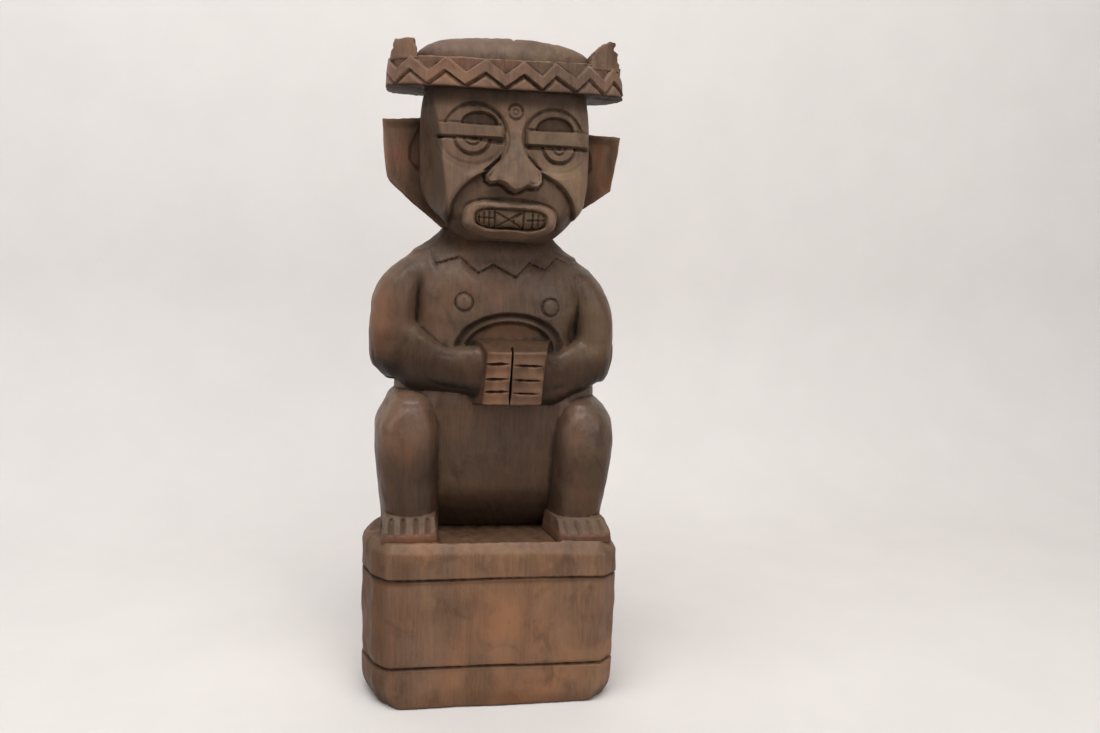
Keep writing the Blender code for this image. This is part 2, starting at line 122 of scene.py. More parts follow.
def oval(a, b, ca, cb, ha, hb, n):
    """Distance, measured from the middle, to a squared-off oval."""
    a, b = a - ca, b - cb
    k = (np.abs(a / ha) ** n + np.abs(b / hb) ** n + 1e-9) ** (1 / n)
    r = np.sqrt(a * a + b * b)
    return np.where(k > 0.02, r * (1 - 1 / np.maximum(k, 0.02)), -np.minimum(ha, hb))


def loft(keys, a, b, s, edge=1.5):
    """A rounded bar through sections (station, centres, half sizes, squareness)."""
    ca, cb, ha, hb, n = rows(keys, s)
    side = oval(a, b, ca, cb, np.maximum(ha, 0.6), np.maximum(hb, 0.6), n)
    ends = np.maximum(keys[0][0] - s, s - keys[-1][0])
    return smax(side, ends, edge)


def polygon(x, z, pts):
    """Signed distance to a closed outline of (x, z) points, negative inside."""
    best, inside = None, None
    for (ax, az), (bx, bz) in zip(pts, pts[1:] + pts[:1]):
        ex, ez = bx - ax, bz - az
        wx, wz = x - ax, z - az
        t = np.clip((wx * ex + wz * ez) / (ex * ex + ez * ez), 0, 1)
        d = (wx - ex * t) ** 2 + (wz - ez * t) ** 2
        best = d if best is None else np.minimum(best, d)
        cross = ((az > z) != (bz > z)) & (x < ex * (z - az) / (ez if ez else 1e-9) + ax)
        inside = cross if inside is None else inside ^ cross
    return np.where(inside, -1, 1) * np.sqrt(best)


def path(x, z, pts):
    """Distance to an open line of (x, z) points."""
    best = None
    for (ax, az), (bx, bz) in zip(pts, pts[1:]):
        ex, ez = bx - ax, bz - az
        t = np.clip(((x - ax) * ex + (z - az) * ez) / (ex * ex + ez * ez), 0, 1)
        d = (x - ax - ex * t) ** 2 + (z - az - ez * t) ** 2
        best = d if best is None else np.minimum(best, d)
    return np.sqrt(best)


def ellipse(x, z, cx, cz, a, b):
    """Rough signed distance to an ellipse."""
    k = np.sqrt(((x - cx) / a) ** 2 + ((z - cz) / b) ** 2 + 1e-9)
    return (k - 1) * np.sqrt((x - cx) ** 2 + (z - cz) ** 2 + 1e-6) / np.maximum(k, 0.05)


TURN = 6.28
rng = np.random.default_rng(7)
WAVES = [(rng.normal(size=3), rng.uniform(0, 6.3)) for _ in range(18)]


def ripple(p, size, first, count=6, stretch=1.0):
    """Soft unevenness, about -1 to 1, with features about size mm across."""
    out = np.zeros(len(p))
    for way, phase in WAVES[first:first + count]:
        k = way / np.linalg.norm(way) * TURN / size * np.array([1, 1, 1 / stretch])
        out += np.sin(p @ k + phase)
    return out / math.sqrt(count)


# --- from field to mesh -------------------------------------------------------
CORNERS = [(i & 1, i >> 1 & 1, i >> 2) for i in range(8)]
EDGES = [(a, b) for a in range(8) for b in range(a + 1, 8) if bin(a ^ b).count("1") == 1]


def skin(field, xs, ys, zs):
    """Points and quads of the surface where field is zero (surface nets)."""
    axes = [np.asarray(v, F32) for v in (xs, ys, zs)]
    x, y, z = axes[0][:, None, None], axes[1][None, :, None], axes[2][None, None, :]
    f = np.broadcast_to(field(x, y, z), [len(v) for v in axes]).astype(F32)
    inside = f < 0
    n = np.array(f.shape) - 1
    count = np.zeros(n, np.int8)
    for o in CORNERS:
        count += inside[o[0]:o[0] + n[0], o[1]:o[1] + n[1], o[2]:o[2] + n[2]]
    cells = np.argwhere((count > 0) & (count < 8))
    index = np.full(n, -1, np.int32)
    index[tuple(cells.T)] = np.arange(len(cells))
    value = np.stack([f[tuple((cells + o).T)] for o in CORNERS], 1)
    total, hits = np.zeros((len(cells), 3)), np.zeros(len(cells))
    for a, b in EDGES:
        va, vb = value[:, a], value[:, b]
        cross = (va < 0) != (vb < 0)
        t = np.where(cross, va / np.where(cross, va - vb, 1), 0)[:, None]
        oa, ob = np.array(CORNERS[a], float), np.array(CORNERS[b], float)
        total += np.where(cross[:, None], oa + t * (ob - oa), 0)
        hits += cross
    at = total / hits[:, None]
    points = np.stack([ax[c] + t * (ax[c + 1] - ax[c]) for ax, c, t in zip(axes, cells.T, at.T)], 1)
    quads = []
    for k in range(3):
        i, j = (k + 1) % 3, (k + 2) % 3
        a = np.moveaxis(inside, k, 0)
        change = a[:-1] != a[1:]
        where = np.argwhere(change)
        full = np.empty((len(where), 3), int)
        rest = [m for m in range(3) if m != k]
        full[:, k] = where[:, 0]
        full[:, rest[0]], full[:, rest[1]] = where[:, 1], where[:, 2]
        keep = (full[:, i] > 0) & (full[:, j] > 0) & (full[:, i] < n[i]) & (full[:, j] < n[j])
        full, where = full[keep], where[keep]
        step_i, step_j = np.eye(3, dtype=int)[i], np.eye(3, dtype=int)[j]
        q = np.stack([
            index[tuple((full - step_i - step_j).T)], index[tuple((full - step_j).T)],
            index[tuple(full.T)], index[tuple((full - step_i).T)],
        ], 1)
        out = a[:-1][tuple(where.T)]  # the wood is on the low side, so the face looks up the axis
        q[~out] = q[~out][:, ::-1]
        quads.append(q)
    return points, np.concatenate(quads)


def ends_of(quads):
    """Both ends of every face edge."""
    return np.concatenate([quads[:, [0, 1]], quads[:, [1, 2]], quads[:, [2, 3]], quads[:, [3, 0]]])


def main_body(points, quads):
    """Drops any crumb that isn't joined to the largest body."""
    label = np.arange(len(points))
    ends = ends_of(quads)
    while True:
        low = label.copy()
        np.minimum.at(low, ends[:, 0], label[ends[:, 1]])
        np.minimum.at(low, ends[:, 1], label[ends[:, 0]])
        low = low[low]
        if (low == label).all():
            break
        label = low
    keep = label == np.bincount(label).argmax()
    new = np.cumsum(keep) - 1
    return points[keep], new[quads[keep[quads[:, 0]]]]


def slope(field, p, e=0.12):
    """The field and its gradient at scattered points."""
    f = field(p[:, 0], p[:, 1], p[:, 2])
    g = np.empty_like(p)
    for k in range(3):
        q = p.copy()
        q[:, k] += e
        g[:, k] = (field(q[:, 0], q[:, 1], q[:, 2]) - f) / e
    return f, g


def corner_normals(points, quads):
    d = np.cross(points[quads[:, 2]] - points[quads[:, 0]], points[quads[:, 3]] - points[quads[:, 1]])
    n = np.zeros_like(points)
    for k in range(4):
        for c in range(3):
            n[:, c] += np.bincount(quads[:, k], d[:, c], len(points))
    return n / np.maximum(np.linalg.norm(n, axis=1, keepdims=True), 1e-12)


def hollow_of(points, quads, rounds):
    """How far each point lies below (+) or above (-) its smoothed surroundings."""
    ends = ends_of(quads)
    size = np.maximum(np.bincount(ends[:, 0], minlength=len(points)), 1)
    soft = points.copy()
    for _ in range(rounds):
        soft = np.stack([np.bincount(ends[:, 0], v[ends[:, 1]], len(points)) / size for v in soft.T], 1)
    return ((soft - points) * corner_normals(points, quads)).sum(1)


def span(lo, hi, h):
    return np.arange(lo - 2 * h, hi + 3 * h, h)


MADE = {}


def round_back(points):
    """Draws the back of the figure in, as the block is only a thick slab of a log."""
    fall, start, soft = 3.544, 14, 8
    out = points.copy()
    out[:, 1] -= fall * np.log1p(np.exp((out[:, 1] + start) / soft))
    return out


def carve(name, nodes, field, box, h, material, refine=2, axes=None, tint=None, grime=None, slab=True):
    """Makes one carved piece from its field and lets it stand for its CAD nodes.

    It is meshed over box with cells h wide, or on axes. tint says, for each
    point, how warm the wood is, and paints a highlight on the right shoulder; the
    darkening values say how much darker it is painted there, mostly painted
    shade with some dirt on the plinth. slab is off for the hat and plinth, which
    are drawn at their real depth.
    """
    if axes is None:
        axes = [span(lo, hi, size) for (lo, hi), size in zip(box, np.broadcast_to(h, 3))]
    points, quads = main_body(*skin(field, *axes))
    most = 0.45 * min(np.diff(a).min() for a in axes)
    for _ in range(refine):
        f, g = slope(field, points)
        size = np.maximum((g * g).sum(1), 0.05)
        move = -g * (f / size)[:, None]
        long = np.linalg.norm(move, axis=1, keepdims=True)
        points = points + move * np.minimum(1, most / np.maximum(long, 1e-9))
    uneven = 0.22 * ripple(points, 31, 0) + 0.14 * ripple(points, 11, 6, stretch=1.6)
    uneven += 0.08 * ripple(points, 4.6, 12, stretch=2.2)
    drawn = points + corner_normals(points, quads) * (uneven - 0.1)[:, None]
    points = round_back(drawn) if slab else drawn
    points = np.clip(points + SHIFT, LOW + BOX_MARGIN, HIGH - BOX_MARGIN)
    mesh = bpy.data.meshes.new(name)
    mesh.from_pydata((points * MM).tolist(), [], quads.tolist())
    mesh.polygons.foreach_set("use_smooth", np.ones(len(quads), bool))
    none = np.zeros(len(points))
    # the last attribute is painted darkening: mostly painted shade, with some dirt on the plinth
    for key, values in (("hollow", hollow_of(points, quads, 5)), ("tint", tint(drawn) if tint else none),
                        ("grime", grime(drawn) if grime else none)):
        mesh.attributes.new(key, "FLOAT", "POINT").data.foreach_set("value", values.astype(F32))
    mesh.materials.append(material)
    mesh.update()
    obj = bpy.data.objects.new(name, mesh)
    bpy.context.scene.collection.objects.link(obj)
    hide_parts(*nodes)
    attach(obj, "root")
    MADE[name] = (len(points), len(quads))


def mine(total, own, others):
    """The part of total that belongs to own, dipping under its neighbours."""
    low = own
    for o in others:
        low = np.minimum(low, o)
    q = own - low
    return total + np.where(q < 6, 0.25 * q, q - 4.5)


def patch(total, region, thick):
    """A thin raised part: total's skin inside region."""
    r = np.maximum(region, 0)
    return np.maximum(total + np.where(r < 1, 0.3 * r, 2 * r - 1.7), -(total + thick))


def under(total, region, deep=0.8):
    """The host of a patch: it sinks a little below it."""
    return total + np.clip(-0.3 * region, 0, deep)


# --- the body -----------------------------------------------------------------
TORSO = [
    (96, 0, 14, 48, 28, 7.0), (104, 0, 11.5, 51, 32, 6.0), (120, 0, 8.2, 54, 37.8, 4.6),
    (140, 0, 7.2, 57, 39.8, 3.8), (160, 0, 6.5, 59, 40.5, 3.2), (178, 0, 6, 60, 39, 3.0),
    (195, 0, 6, 59, 36, 3.0), (212, 0, 5.5, 57, 36.5, 3.0), (228, 0, 4.8, 57, 38.3, 2.9),
    (240, -0.5, 5, 56, 38, 2.7), (249, -2, 4.8, 54.5, 35.3, 2.5), (257, -3.5, 4.5, 49, 31.5, 2.3),
    (264, -3.5, 4, 41, 28, 2.2), (270, -2.5, 3.5, 34.5, 24.5, 2.2), (278, 0, 3, 30, 21, 2.2),
]
UPPER = {
    -1: [(187, -61, 3, 5, 10, 2.2), (192, -60.5, 2, 10.5, 20, 2.5), (207, -60.2, 1, 14.2, 26, 2.6),
         (225, -59.6, 1, 14.2, 27, 2.6), (237, -57.4, 1, 14.2, 26, 2.5), (247, -52.5, 1, 13.5, 22.5, 2.4),
         (254, -46, 1, 11, 17, 2.2), (259, -40, 1, 7, 10, 2.0)],
    1: [(187, 57, 3, 5, 10, 2.2), (192, 57, 2, 9.8, 20, 2.5), (206, 57.1, 1, 12.9, 26, 2.6),
        (216, 57.0, 1, 13.1, 27, 2.6), (234, 53.4, 1, 13.4, 26, 2.5), (245, 48, 1, 12.6, 22.5, 2.4),
        (252, 43, 1, 10, 17, 2.2), (257, 38, 1, 6.5, 10, 2.0)],
}
FORE = {
    -1: [(-70.5, -6, 203, 7, 8, 2.2), (-66, -8, 202, 14, 13, 2.4), (-58, -11, 202, 15.5, 16, 2.6),
         (-52, -13.5, 200, 16, 18.5, 2.7), (-45, -16.5, 198.5, 16.5, 19.3, 2.7), (-40, -19, 196.5, 15.5, 17.3, 2.6),
         (-31, -23.5, 194, 14, 14.6, 2.5), (-21, -27, 193.8, 13, 14.8, 2.5), (-10, -29.5, 193, 12.5, 16, 2.6),
         (-2, -30, 192.5, 11, 14, 2.6)],
    1: [(14, -30, 191, 11, 14, 2.6), (20, -29.5, 191, 12, 15, 2.6), (27, -27.5, 190, 13, 16, 2.5),
        (34, -24, 189.8, 14, 15.8, 2.5), (38, -21.5, 191.2, 15, 16, 2.6), (45, -17, 193.7, 16, 16, 2.6),
        (55, -12, 196.3, 16, 14.5, 2.6), (60, -10.5, 197.5, 15.5, 13, 2.4), (65, -8, 197, 13, 11.5, 2.4),
        (68.6, -6, 197, 7, 8, 2.2)],
}
LEG = {
    -1: [(96, -50, -6, 17.5, 33, 3.0), (110, -50.2, -6, 17.6, 34, 3.0), (126, -50.9, -6, 18.6, 35, 3.0),
         (153, -51.5, -5, 19.6, 37, 2.9), (163, -51.2, -4.5, 19.1, 37, 2.8), (172.5, -49.9, -3.5, 15.9, 34, 2.5),
         (179.6, -49.6, -2, 10.6, 27, 2.3), (182.6, -48.5, -1, 4, 15, 2.0)],
    1: [(96, 48, -6, 16.6, 33, 3.0), (110, 48.3, -6, 17.2, 34, 3.0), (124, 49.2, -6, 19, 35, 3.0),
        (146, 50.4, -5, 20.4, 37, 2.9), (155, 50.7, -5, 20.2, 37.3, 2.8), (165, 50.8, -4, 18.3, 36, 2.7),
        (171.6, 50, -3, 14.6, 32, 2.4), (176, 49.2, -2, 9.6, 26, 2.2), (178.6, 49, -1, 4, 14, 2.0)],
}
ARMPITS = ([(-48.5, 243), (-47.5, 232), (-49.5, 223), (-57, 217)],
           [(49.2, 245), (49, 234), (47.2, 222), (44, 212)])
NIPPLES = ((-21.1, 233.2), (28.4, 230.8))
COLLAR_X = [-58, -47.7, -40.5, -36.8, -23.4, -13.2, -4.6, 8.1, 16.2, 25.6, 32.9, 41.5, 56]
COLLAR_Z = [256, 260.5, 262, 254.1, 258.6, 249.8, 254.7, 247.8, 256.0, 252.2, 259.3, 254.9, 259]


def arch_out(x, z):
    """Distance to the rib arch's outer line; arch_in is to its inner line."""
    return ellipse(x, z, 5.7, 205, 32.4, 23.2)


def arch_in(x, z):
    return ellipse(x, z, 5.7, 205, 25.4, 16.6)


def collar_line(x, z):
    return z - np.interp(x, COLLAR_X, COLLAR_Z).astype(F32)


def chest_relief(x, y, z):
    """How deep the front of the torso is cut, in mm."""
    line = collar_line(x, z)
    cut = 1.5 * ease(-line, 0.35) * np.clip(1 + line / 6.5, 0, 1)
    cut += 1.3 * vee(line + 0.3, 1.0)
    for cx, cz in NIPPLES:
        r = near(x, z, cx, cz)
        cut += 1.5 * vee(r - 4.9, 1.1) - 1.5 * np.sqrt(np.clip(1 - (r / 4.7) ** 2, 0, 1))
    out, inn = arch_out(x, z), arch_in(x, z)
    low = ease(z - 202, 3)
    # the chest rolls in to a soft ridge, with the belly a step below it
    cut += low * 2.3 * ease(-out - 1.8, 2.2)
    cut -= low * 1.5 * bump(inn - 1.5, 1.5)
    cut += low * 1.2 * ease(-inn + 0.1, 0.9)
    # the chest falls away towards each armpit and the top of the forearm
    cut += 4.0 * bump(x + 43, 10) * bump(z - 217, 13) + 4.0 * bump(x - 44, 9) * bump(z - 214, 13)
    for line in ARMPITS:
        cut += 3.0 * bump(path(x, z, line), 4.0)
    cut -= 1.3 * bump(x + 24, 15) * bump(z - 236, 11) + 1.3 * bump(x - 29, 15) * bump(z - 234, 11)
    # the belly's flanks
    cut += 1.6 * (bump(x + 32, 5) + bump(x - 31, 5)) * ease(178 - z, 6)
    return cut * ease(-12 - y, 8)


def torso(x, y, z):
    d = loft(TORSO, x, y, z)
    d = d + chest_relief(x, y, z)
    spine = 2.6 * bump(x - 1, 7) * bump(z - 200, 52)
    blades = 1.5 * bump(x + 27, 15) * bump(z - 226, 17) + 1.5 * bump(x - 28, 15) * bump(z - 224, 17)
    seat = 3.0 * bump(x - 1, 4) * ease(128 - z, 9)
    return d + (spine - blades + seat) * ease(y - 12, 8)


def hand(side, x, y, z):
    """A squared-off fist, with three slits between its four fingers."""
    proud = y + 46.6  # from the plane of the knuckles, back into the block
    finger = 8.1
    front = -proud + 0.003 * (x - 7) ** 2 + 0.3 * np.cos((z - 195.6) * 6.283 / finger)
    top = proud * -0.40 + (z - 206.6) * 0.917
    bottom = -(z - 176.9) * 0.99 + proud * -0.14
    if side < 0:
        flank = (-9.3 + (z - 192) * 0.08 - x) * 0.94 - proud * 0.34
    else:
        flank = (x - 24.0 - (z - 192) * 0.09) * 0.98 - proud * 0.20
    d = front
    for plane in (top, flank, bottom):
        d = smax(d, plane, 1.3)
    d = smax(d, z - 211.6, 1.0)
    d = np.maximum(d, y + 24)
    cuts = ((-9.4, 4.7, 200.0), (-9.6, 4.6, 191.5), (-9.8, 4.6, 184.3)) if side < 0 else (
        (5.9, 23.2, 199.2), (5.9, 22.4, 190.9), (5.9, 21.4, 183.4))
    for a, b, zc in cuts:
        tilt = (x - (a + b) / 2) * 0.03 * -side
        along = np.clip(np.minimum(x - a, b - x) / 4.5, 0, 1)
        d = d + 2.3 * along ** 0.7 * vee(z - zc - tilt, 0.35 + 0.45 * along)
    return d


def seam(x, z):
    """The cut where the two hands meet; it is above 0 on the figure's left."""
    return x - 5.3 - (z - 192) * 0.04


def foot(side, x, y, z):
    """A wedge of a foot, fluted into toes; the left one splays."""
    cx, hx = (-50.2, 16.0) if side < 0 else (49.5, 15.6)
    splay = 0.0 if side < 0 else 0.22
    u = x - cx - splay * (-y - 40)
    base, cap = (102.6, 110.8) if side < 0 else (100.8, 108.4)
    top = (z - base) * 0.78 + (y + 49.6) * -0.62
    front = -(y + 49.8) + 0.006 * u * u
    d = smax(np.abs(u) - hx + 0.12 * (z - 99), front, 2.2)
    d = smax(d, top, 1.4)
    d = smax(d, z - cap, 1.2)
    d = np.maximum(d, y + 20)
    for k in (-1.5, -0.5, 0.5, 1.5):
        on = ease(z - base + 0.3, 0.8) * ease(cap - 1.4 - z, 1.0)
        d = d + on * (1.35 if side < 0 else 0.8) * vee(u - k * 6.6 - 0.4 * np.sin(k * 5), 1.7)
    return np.maximum(d, 95.5 - z)


def members(x, y, z):
    """Every body member's field, by name."""
    got = {"torso": torso(x, y, z)}
    for s, side in SIDES:
        got[side + "_upper_arm"] = loft(UPPER[s], x, y, z)
        fore = loft(FORE[s], y, z, x)
        # the forearm's top is a flat ledge with a crisp inner edge
        got[side + "_forearm"] = fore + 1.2 * bump(z - 220, 6) * ease(-y - 18, 6)
        got[side + "_hand"] = hand(s, x, y, z)
        leg = loft(LEG[s], x, y, z)
        # thigh and calf press together: a shallow crease on the outer side
        crease = (z - 139) * 0.93 + (y - 4) * 0.36
        leg = leg + 0.9 * vee(crease, 2.6) * ease(y - 1, 6) * ease(s * x - 58, 5)
        got[side + "_leg"] = leg
        got[side + "_foot"] = foot(s, x, y, z)
    return got


def blend(m, x, y, z):
    """The whole body: the members run together where the carving flows."""
    whole = m["torso"]
    for s, side in SIDES:
        arm = smin(m[side + "_upper_arm"], m[side + "_forearm"], 6.0)
        arm = smin(arm, m[side + "_hand"], 1.6)
        side_of = seam(x, z) * s
        arm = np.maximum(arm, 0.12 - side_of)
        arm = arm + 1.0 * vee(side_of, 0.7) * ease(-y - 40, 2)
        high = ease(z - 244, 6)
        whole = smin(whole, arm, 1.2 + 8.0 * high)
        leg = smin(m[side + "_leg"], m[side + "_foot"], 1.2)
        whole = smin(whole, leg, 1.0)
    return whole


def body_field(name):
    def field(x, y, z):
        m = members(x, y, z)
        d = mine(blend(m, x, y, z), m[name], [v for k, v in m.items() if k != name])
        if name == "torso":
            low = np.minimum(collar_region(x, y, z), arch_region(x, y, z))
            for k in (0, 1):
                low = np.minimum(low, nipple_region(k)(x, y, z))
            d = under(d, low)
        return np.maximum(d, 94 - z)
    return field


def collar_region(x, y, z):
    return np.maximum(np.maximum(-collar_line(x, z), y + 6), z - 268) + 0 * x


def arch_region(x, y, z):
    band = np.maximum(arch_out(x, z), -arch_in(x, z))
    return np.maximum(np.maximum(band, 203 - z), y + 10)


def nipple_region(k):
    return lambda x, y, z: np.maximum(near(x, z, *NIPPLES[k]) - 4.8, y + 10)


def chest_field(region, thick=2.6):
    def field(x, y, z):
        m = members(x, y, z)
        total = mine(blend(m, x, y, z), m["torso"], [v for k, v in m.items() if k != "torso"])
        return patch(total, region(x, y, z), thick)
    return field


# --- the head -------------------------------------------------------------------
HEAD = [
    (265, 3, -2, 20, 30, 2.6), (270, 3, -2.5, 28, 35, 2.9), (275, 3, -3, 33, 37.5, 3.2),
    (280, 2.6, -3.2, 37.5, 38.3, 3.5), (286, 2, -3.3, 43, 38.7, 3.8), (295, 1, -3.4, 46, 39, 4.0),
    (314, 0.5, -3.5, 47.2, 39.3, 4.0), (330, 0.5, -3.5, 47, 39.5, 4.0), (352, 0.3, -3.5, 44.5, 39.5, 4.0),
]
NOSE = [
    (-0.6, 328), (-0.8, 319.7), (-3.4, 312.0), (-8.6, 307.2), (-11.6, 303.5), (-11.2, 300.3), (-8.6, 298.7),
    (-4.6, 299.6), (-1.5, 298.4), (1.6, 295.4), (4.5, 294.2), (7.6, 295.2), (11.0, 297.6), (14.0, 297.0),
    (17.2, 297.3), (19.3, 300.0), (19.3, 304.4), (18.0, 306.8), (12.0, 313.3), (9.3, 320.1), (9.1, 328),
    (10.5, 333), (8.6, 337.5), (0.0, 338), (-2.2, 333),
]
# middle x, middle z, half width, half height of each carved shape, in mm
SOCKET = {-1: (-17.5, 322.7, 17.7, 17.7), 1: (25.3, 322.6, 16.6, 16.6)}
MOON = {-1: (-15.0, 330.2, 9.8, 6.2), 1: (26.0, 328.0, 10.3, 7.4)}
BAR = {-1: (-36.6, -2.4, 329.7, 323.3, -0.012), 1: (10.6, 45.2, 327.7, 320.2, -0.004)}
BALL = {-1: (-18.9, 322.6, 9.3, 8.2), 1: (28.6, 319.4, 8.5, 8.1)}
IRIS = {-1: (-18.7, 322.8, 4.6, 3.8), 1: (28.6, 319.7, 3.4, 4.1)}
FOLD = (4.6, 279.3, 35.3, 28.6)
BOSS = (4.1, 337.0)
# the crisp ridge where the face turns to its right side: x at each height
RIDGE = ([266, 276, 291, 309, 323, 335, 345], [-27, -30.6, -32.9, -35.2, -36.3, -38.7, -41.9])


def bar_line(s, x, z):
    """Height above the bar's bottom edge and below its top edge."""
    x0, x1, top, low, tilt = BAR[s]
    lean = tilt * (x - (x0 + x1) / 2)
    return z - low - lean, top + lean - z


def moon_shape(s, x, z, drop=0):
    """The half moon over an eye, negative inside; drop lowers its flat edge."""
    mx, mz, ma, mb = MOON[s]
    return np.maximum(ellipse(x, z, mx, mz, ma, mb), mz - drop - z)


def lips_out(x, z):
    zz = z - 279.2 + 0.030 * (x - 2.8)
    half = np.where(zz < 0, 10.6, 10.4)
    n = np.where(zz < 0, 2.5, 3.4)
    return oval(x, zz, 2.8, 0, 25.4, half, n)


def lips_in(x, z):
    zz = z - 280.0 + 0.026 * (x - 2.8)
    return oval(x, zz, 2.9, 0, 20.0, 5.7, 3.4)


TOOTH_CUTS = (
    ((-4.7, 283.4), (8.2, 276.2)), ((-4.6, 276.2), (8.1, 283.2)), ((-14.9, 280.6), (-6.2, 280.4)),
    ((-11.9, 283.0), (-11.8, 277.4)), ((-9.0, 283.6), (-8.9, 276.6)), ((-6.0, 284.0), (-5.7, 275.6)),
    ((9.9, 283.8), (10.1, 275.2)), ((12.4, 279.7), (21.4, 279.9)), ((15.0, 283.0), (15.2, 276.0)),
    ((18.2, 282.6), (18.3, 276.6)), ((-14.6, 282.0), (-14.5, 278.4)),
)


def face_relief(x, z):
    """How deep the front of the head is cut, in mm; less than 0 stands proud."""
    cut = np.zeros(np.broadcast(x, z).shape, F32)
    nose = polygon(x, z, NOSE)
    off_nose = ease(nose, 0.6)
    for s in (-1, 1):
        cx, cz, a, b = SOCKET[s]
        ring = ellipse(x, z, cx, cz, a, b)
        ang = np.arctan2(z - cz, -s * (x - cx))  # 0 towards the nose, up positive
        # groove along the top of the socket and down beside the nose
        on = ease(ang + 1.25, 0.18) * ease(2.75 - ang, 0.12)
        cut += 2.1 * vee(ring, 1.15) * on
        # the whole eye lies in a shallow dish beside the bridge
        cut += 2.2 * ease(-ring, 4.5) * ease(-(s * (x - cx)) + 6, 7)
        # half moon under the brow band
        moon = moon_shape(s, x, z)
        cut += 3.7 * ease(-moon, 0.6)
        # the lid bar stands out, with a deep dark slit under it
        low, high = bar_line(s, x, z)
        x0, x1 = BAR[s][0], BAR[s][1]
        wide = ease(x - x0, 1.2) * ease(x1 - x, 1.2)
        flush = ease(low, 0.35) * ease(high, 0.45) * wide
        cut = cut * (1 - flush) + 0.1 * flush
        cut += 0.9 * vee(high + 0.6, 1.0) * wide * ease(moon, 1.0)
        slit = 0.9 + (0.9 * np.clip((x + 16) / 14, 0, 1) if s < 0 else 0.2)
        cut += 3.6 * vee(low + slit * 0.9, slit + 0.45) * ease(x - x0, 2.5) * ease(x1 - x, 2.5)
        # eyeball, iris and pupil, cut off by the bar
        below = ease(-low - 0.6, 0.4)
        ball = ellipse(x, z, *BALL[s])
        cut += below * 1.9 * vee(ball - 0.3, 1.2)
        cut -= below * 1.5 * ease(-ball, 1.2)
        iris = ellipse(x, z, *IRIS[s])
        cut += below * 1.5 * vee(iris, 0.9)
        ix, iz = IRIS[s][:2]
        cut += below * 0.5 * bump(np.sqrt((x - ix) ** 2 + (z - iz + 0.6) ** 2), 1.3)
        # bags under the eye
        for k, deep in ((1.48, 0.55), (1.72, 0.35)):
            bag = ellipse(x, z, BALL[s][0], BALL[s][1] - 1, BALL[s][2] * k + 3, BALL[s][3] * k + 0.6)
            cut += deep * vee(bag, 1.5) * ease(BALL[s][1] - 4 - z, 3)
        # cheek
        cut -= 1.2 * bump(x - cx + s * -4, 12) * bump(z - 303, 9)
    # boss on the forehead: a ring and a plain button
    r = near(x, z, *BOSS)
    cut += 1.1 * vee(r - 3.9, 0.85) - 0.5 * np.clip(1 - (r / 3.6) ** 2, 0, 1) + 0.8 * vee(r - 1.5, 0.6)
    # the muzzle lies below the cheeks, inside the folds from nose to jaw
    fold = ellipse(x, z, *FOLD)
    cheek = ease(309 - z, 3)
    trough = 4.3 * ease(-fold - 0.3, 0.8) * np.clip(1 + fold / 17, 0.38, 1)
    cut += cheek * (trough + 0.5 * vee(fold + 1.2, 1.6)) * off_nose
    cut -= 0.9 * cheek * bump(fold - 2.0, 2.6) * off_nose
    # nose: bridge, wings and tip
    rise = ([292, 295, 300, 306, 314, 322, 330, 338], [7.5, 10.6, 10.8, 9.4, 6.6, 4.0, 1.9, 0.4])
    ridge = np.interp(z, *rise).astype(F32)
    inside = np.clip(-nose / 1.9, 0, 1)
    dome = np.sqrt(np.clip(1 - (1 - inside) ** 2, 0, 1))
    flat = ease(z - 322, 8)
    height = ridge * (dome * (1 - flat) + flat * ease(-nose, 0.8))
    side_fall = 0.34 * np.abs(x - 4.0) * bump(z - 303, 9) * (inside > 0)
    cut -= np.maximum(height - side_fall * inside, 0) * (nose < 0)
    cut += 1.8 * vee(nose - 0.4, 1.3) * ease(314 - z, 3)
    nostril = 0
    for nx, nz in ((-4.6, 300.2), (13.4, 298.6)):
        nostril = nostril + bump(np.sqrt(((x - nx) / 1.6) ** 2 + (z - nz) ** 2), 1.5)
    cut += 1.5 * nostril
    # lips: a bevelled ring round the bared teeth
    out, inn = lips_out(x, z), lips_in(x, z)
    ring = ease(-out, 1.0) * ease(inn, 0.55)
    cut -= ring * (6.4 - 0.10 * (out + 4) ** 2 * (out < 0))
    cut += 1.0 * vee(out - 0.6, 1.8)
    plate = ease(-inn, 0.5)
    cut -= plate * 3.4
    for a, b in TOOTH_CUTS:
        cut += plate * 1.5 * vee(path(x, z, [a, b]), 0.72)
    cut += plate * 1.2 * ease(inn + 1.3, 0.9)
    return cut


def head(x, y, z):
    ca, cb, ha, hb, n = rows(HEAD, z)
    n = np.where(x > ca, n * 1.7, n * 1.45)
    d = oval(x, y, ca, cb, ha, hb, n)
    ridge = np.interp(z, *RIDGE).astype(F32)
    bevel = (x - ridge) * -0.894 + (y + 39.5) * -0.447
    d = smax(d, bevel, 0.9)
    d = smax(d, 265.5 - z, 2.0)
    jaw = (z - 275.6) * -0.86 + (-y - 36) * 0.5
    d = smax(d, jaw, 3.0)
    d = d + face_relief(x, z) * ease(-27 - y, 5)
    d = smax(d, np.minimum(267.4 - z, -33 - y), 1.2)  # the jaw turns under just below the lips
    return np.maximum(d, z - 350)


EAR = {
    -1: [(-36, 335.0), (-67.6, 333.2), (-66.6, 318), (-64.8, 302.2), (-63.2, 299.2), (-50, 287.4),
         (-34, 274.2), (-28, 274), (-28, 335)],
    1: [(36, 331.4), (68.4, 329.2), (67.4, 319.5), (65.9, 309.5), (63.8, 298.4), (56, 292.4),
        (47.9, 286.6), (36, 278), (30, 278), (30, 331.4)],
}


# the edge of the hollow next to the head, by distance from the middle
BOWL = [(45.0, 333), (49.5, 325), (52.2, 318.5), (52.4, 312), (48.5, 306.8), (41.8, 304.9), (30, 304), (30, 333)]


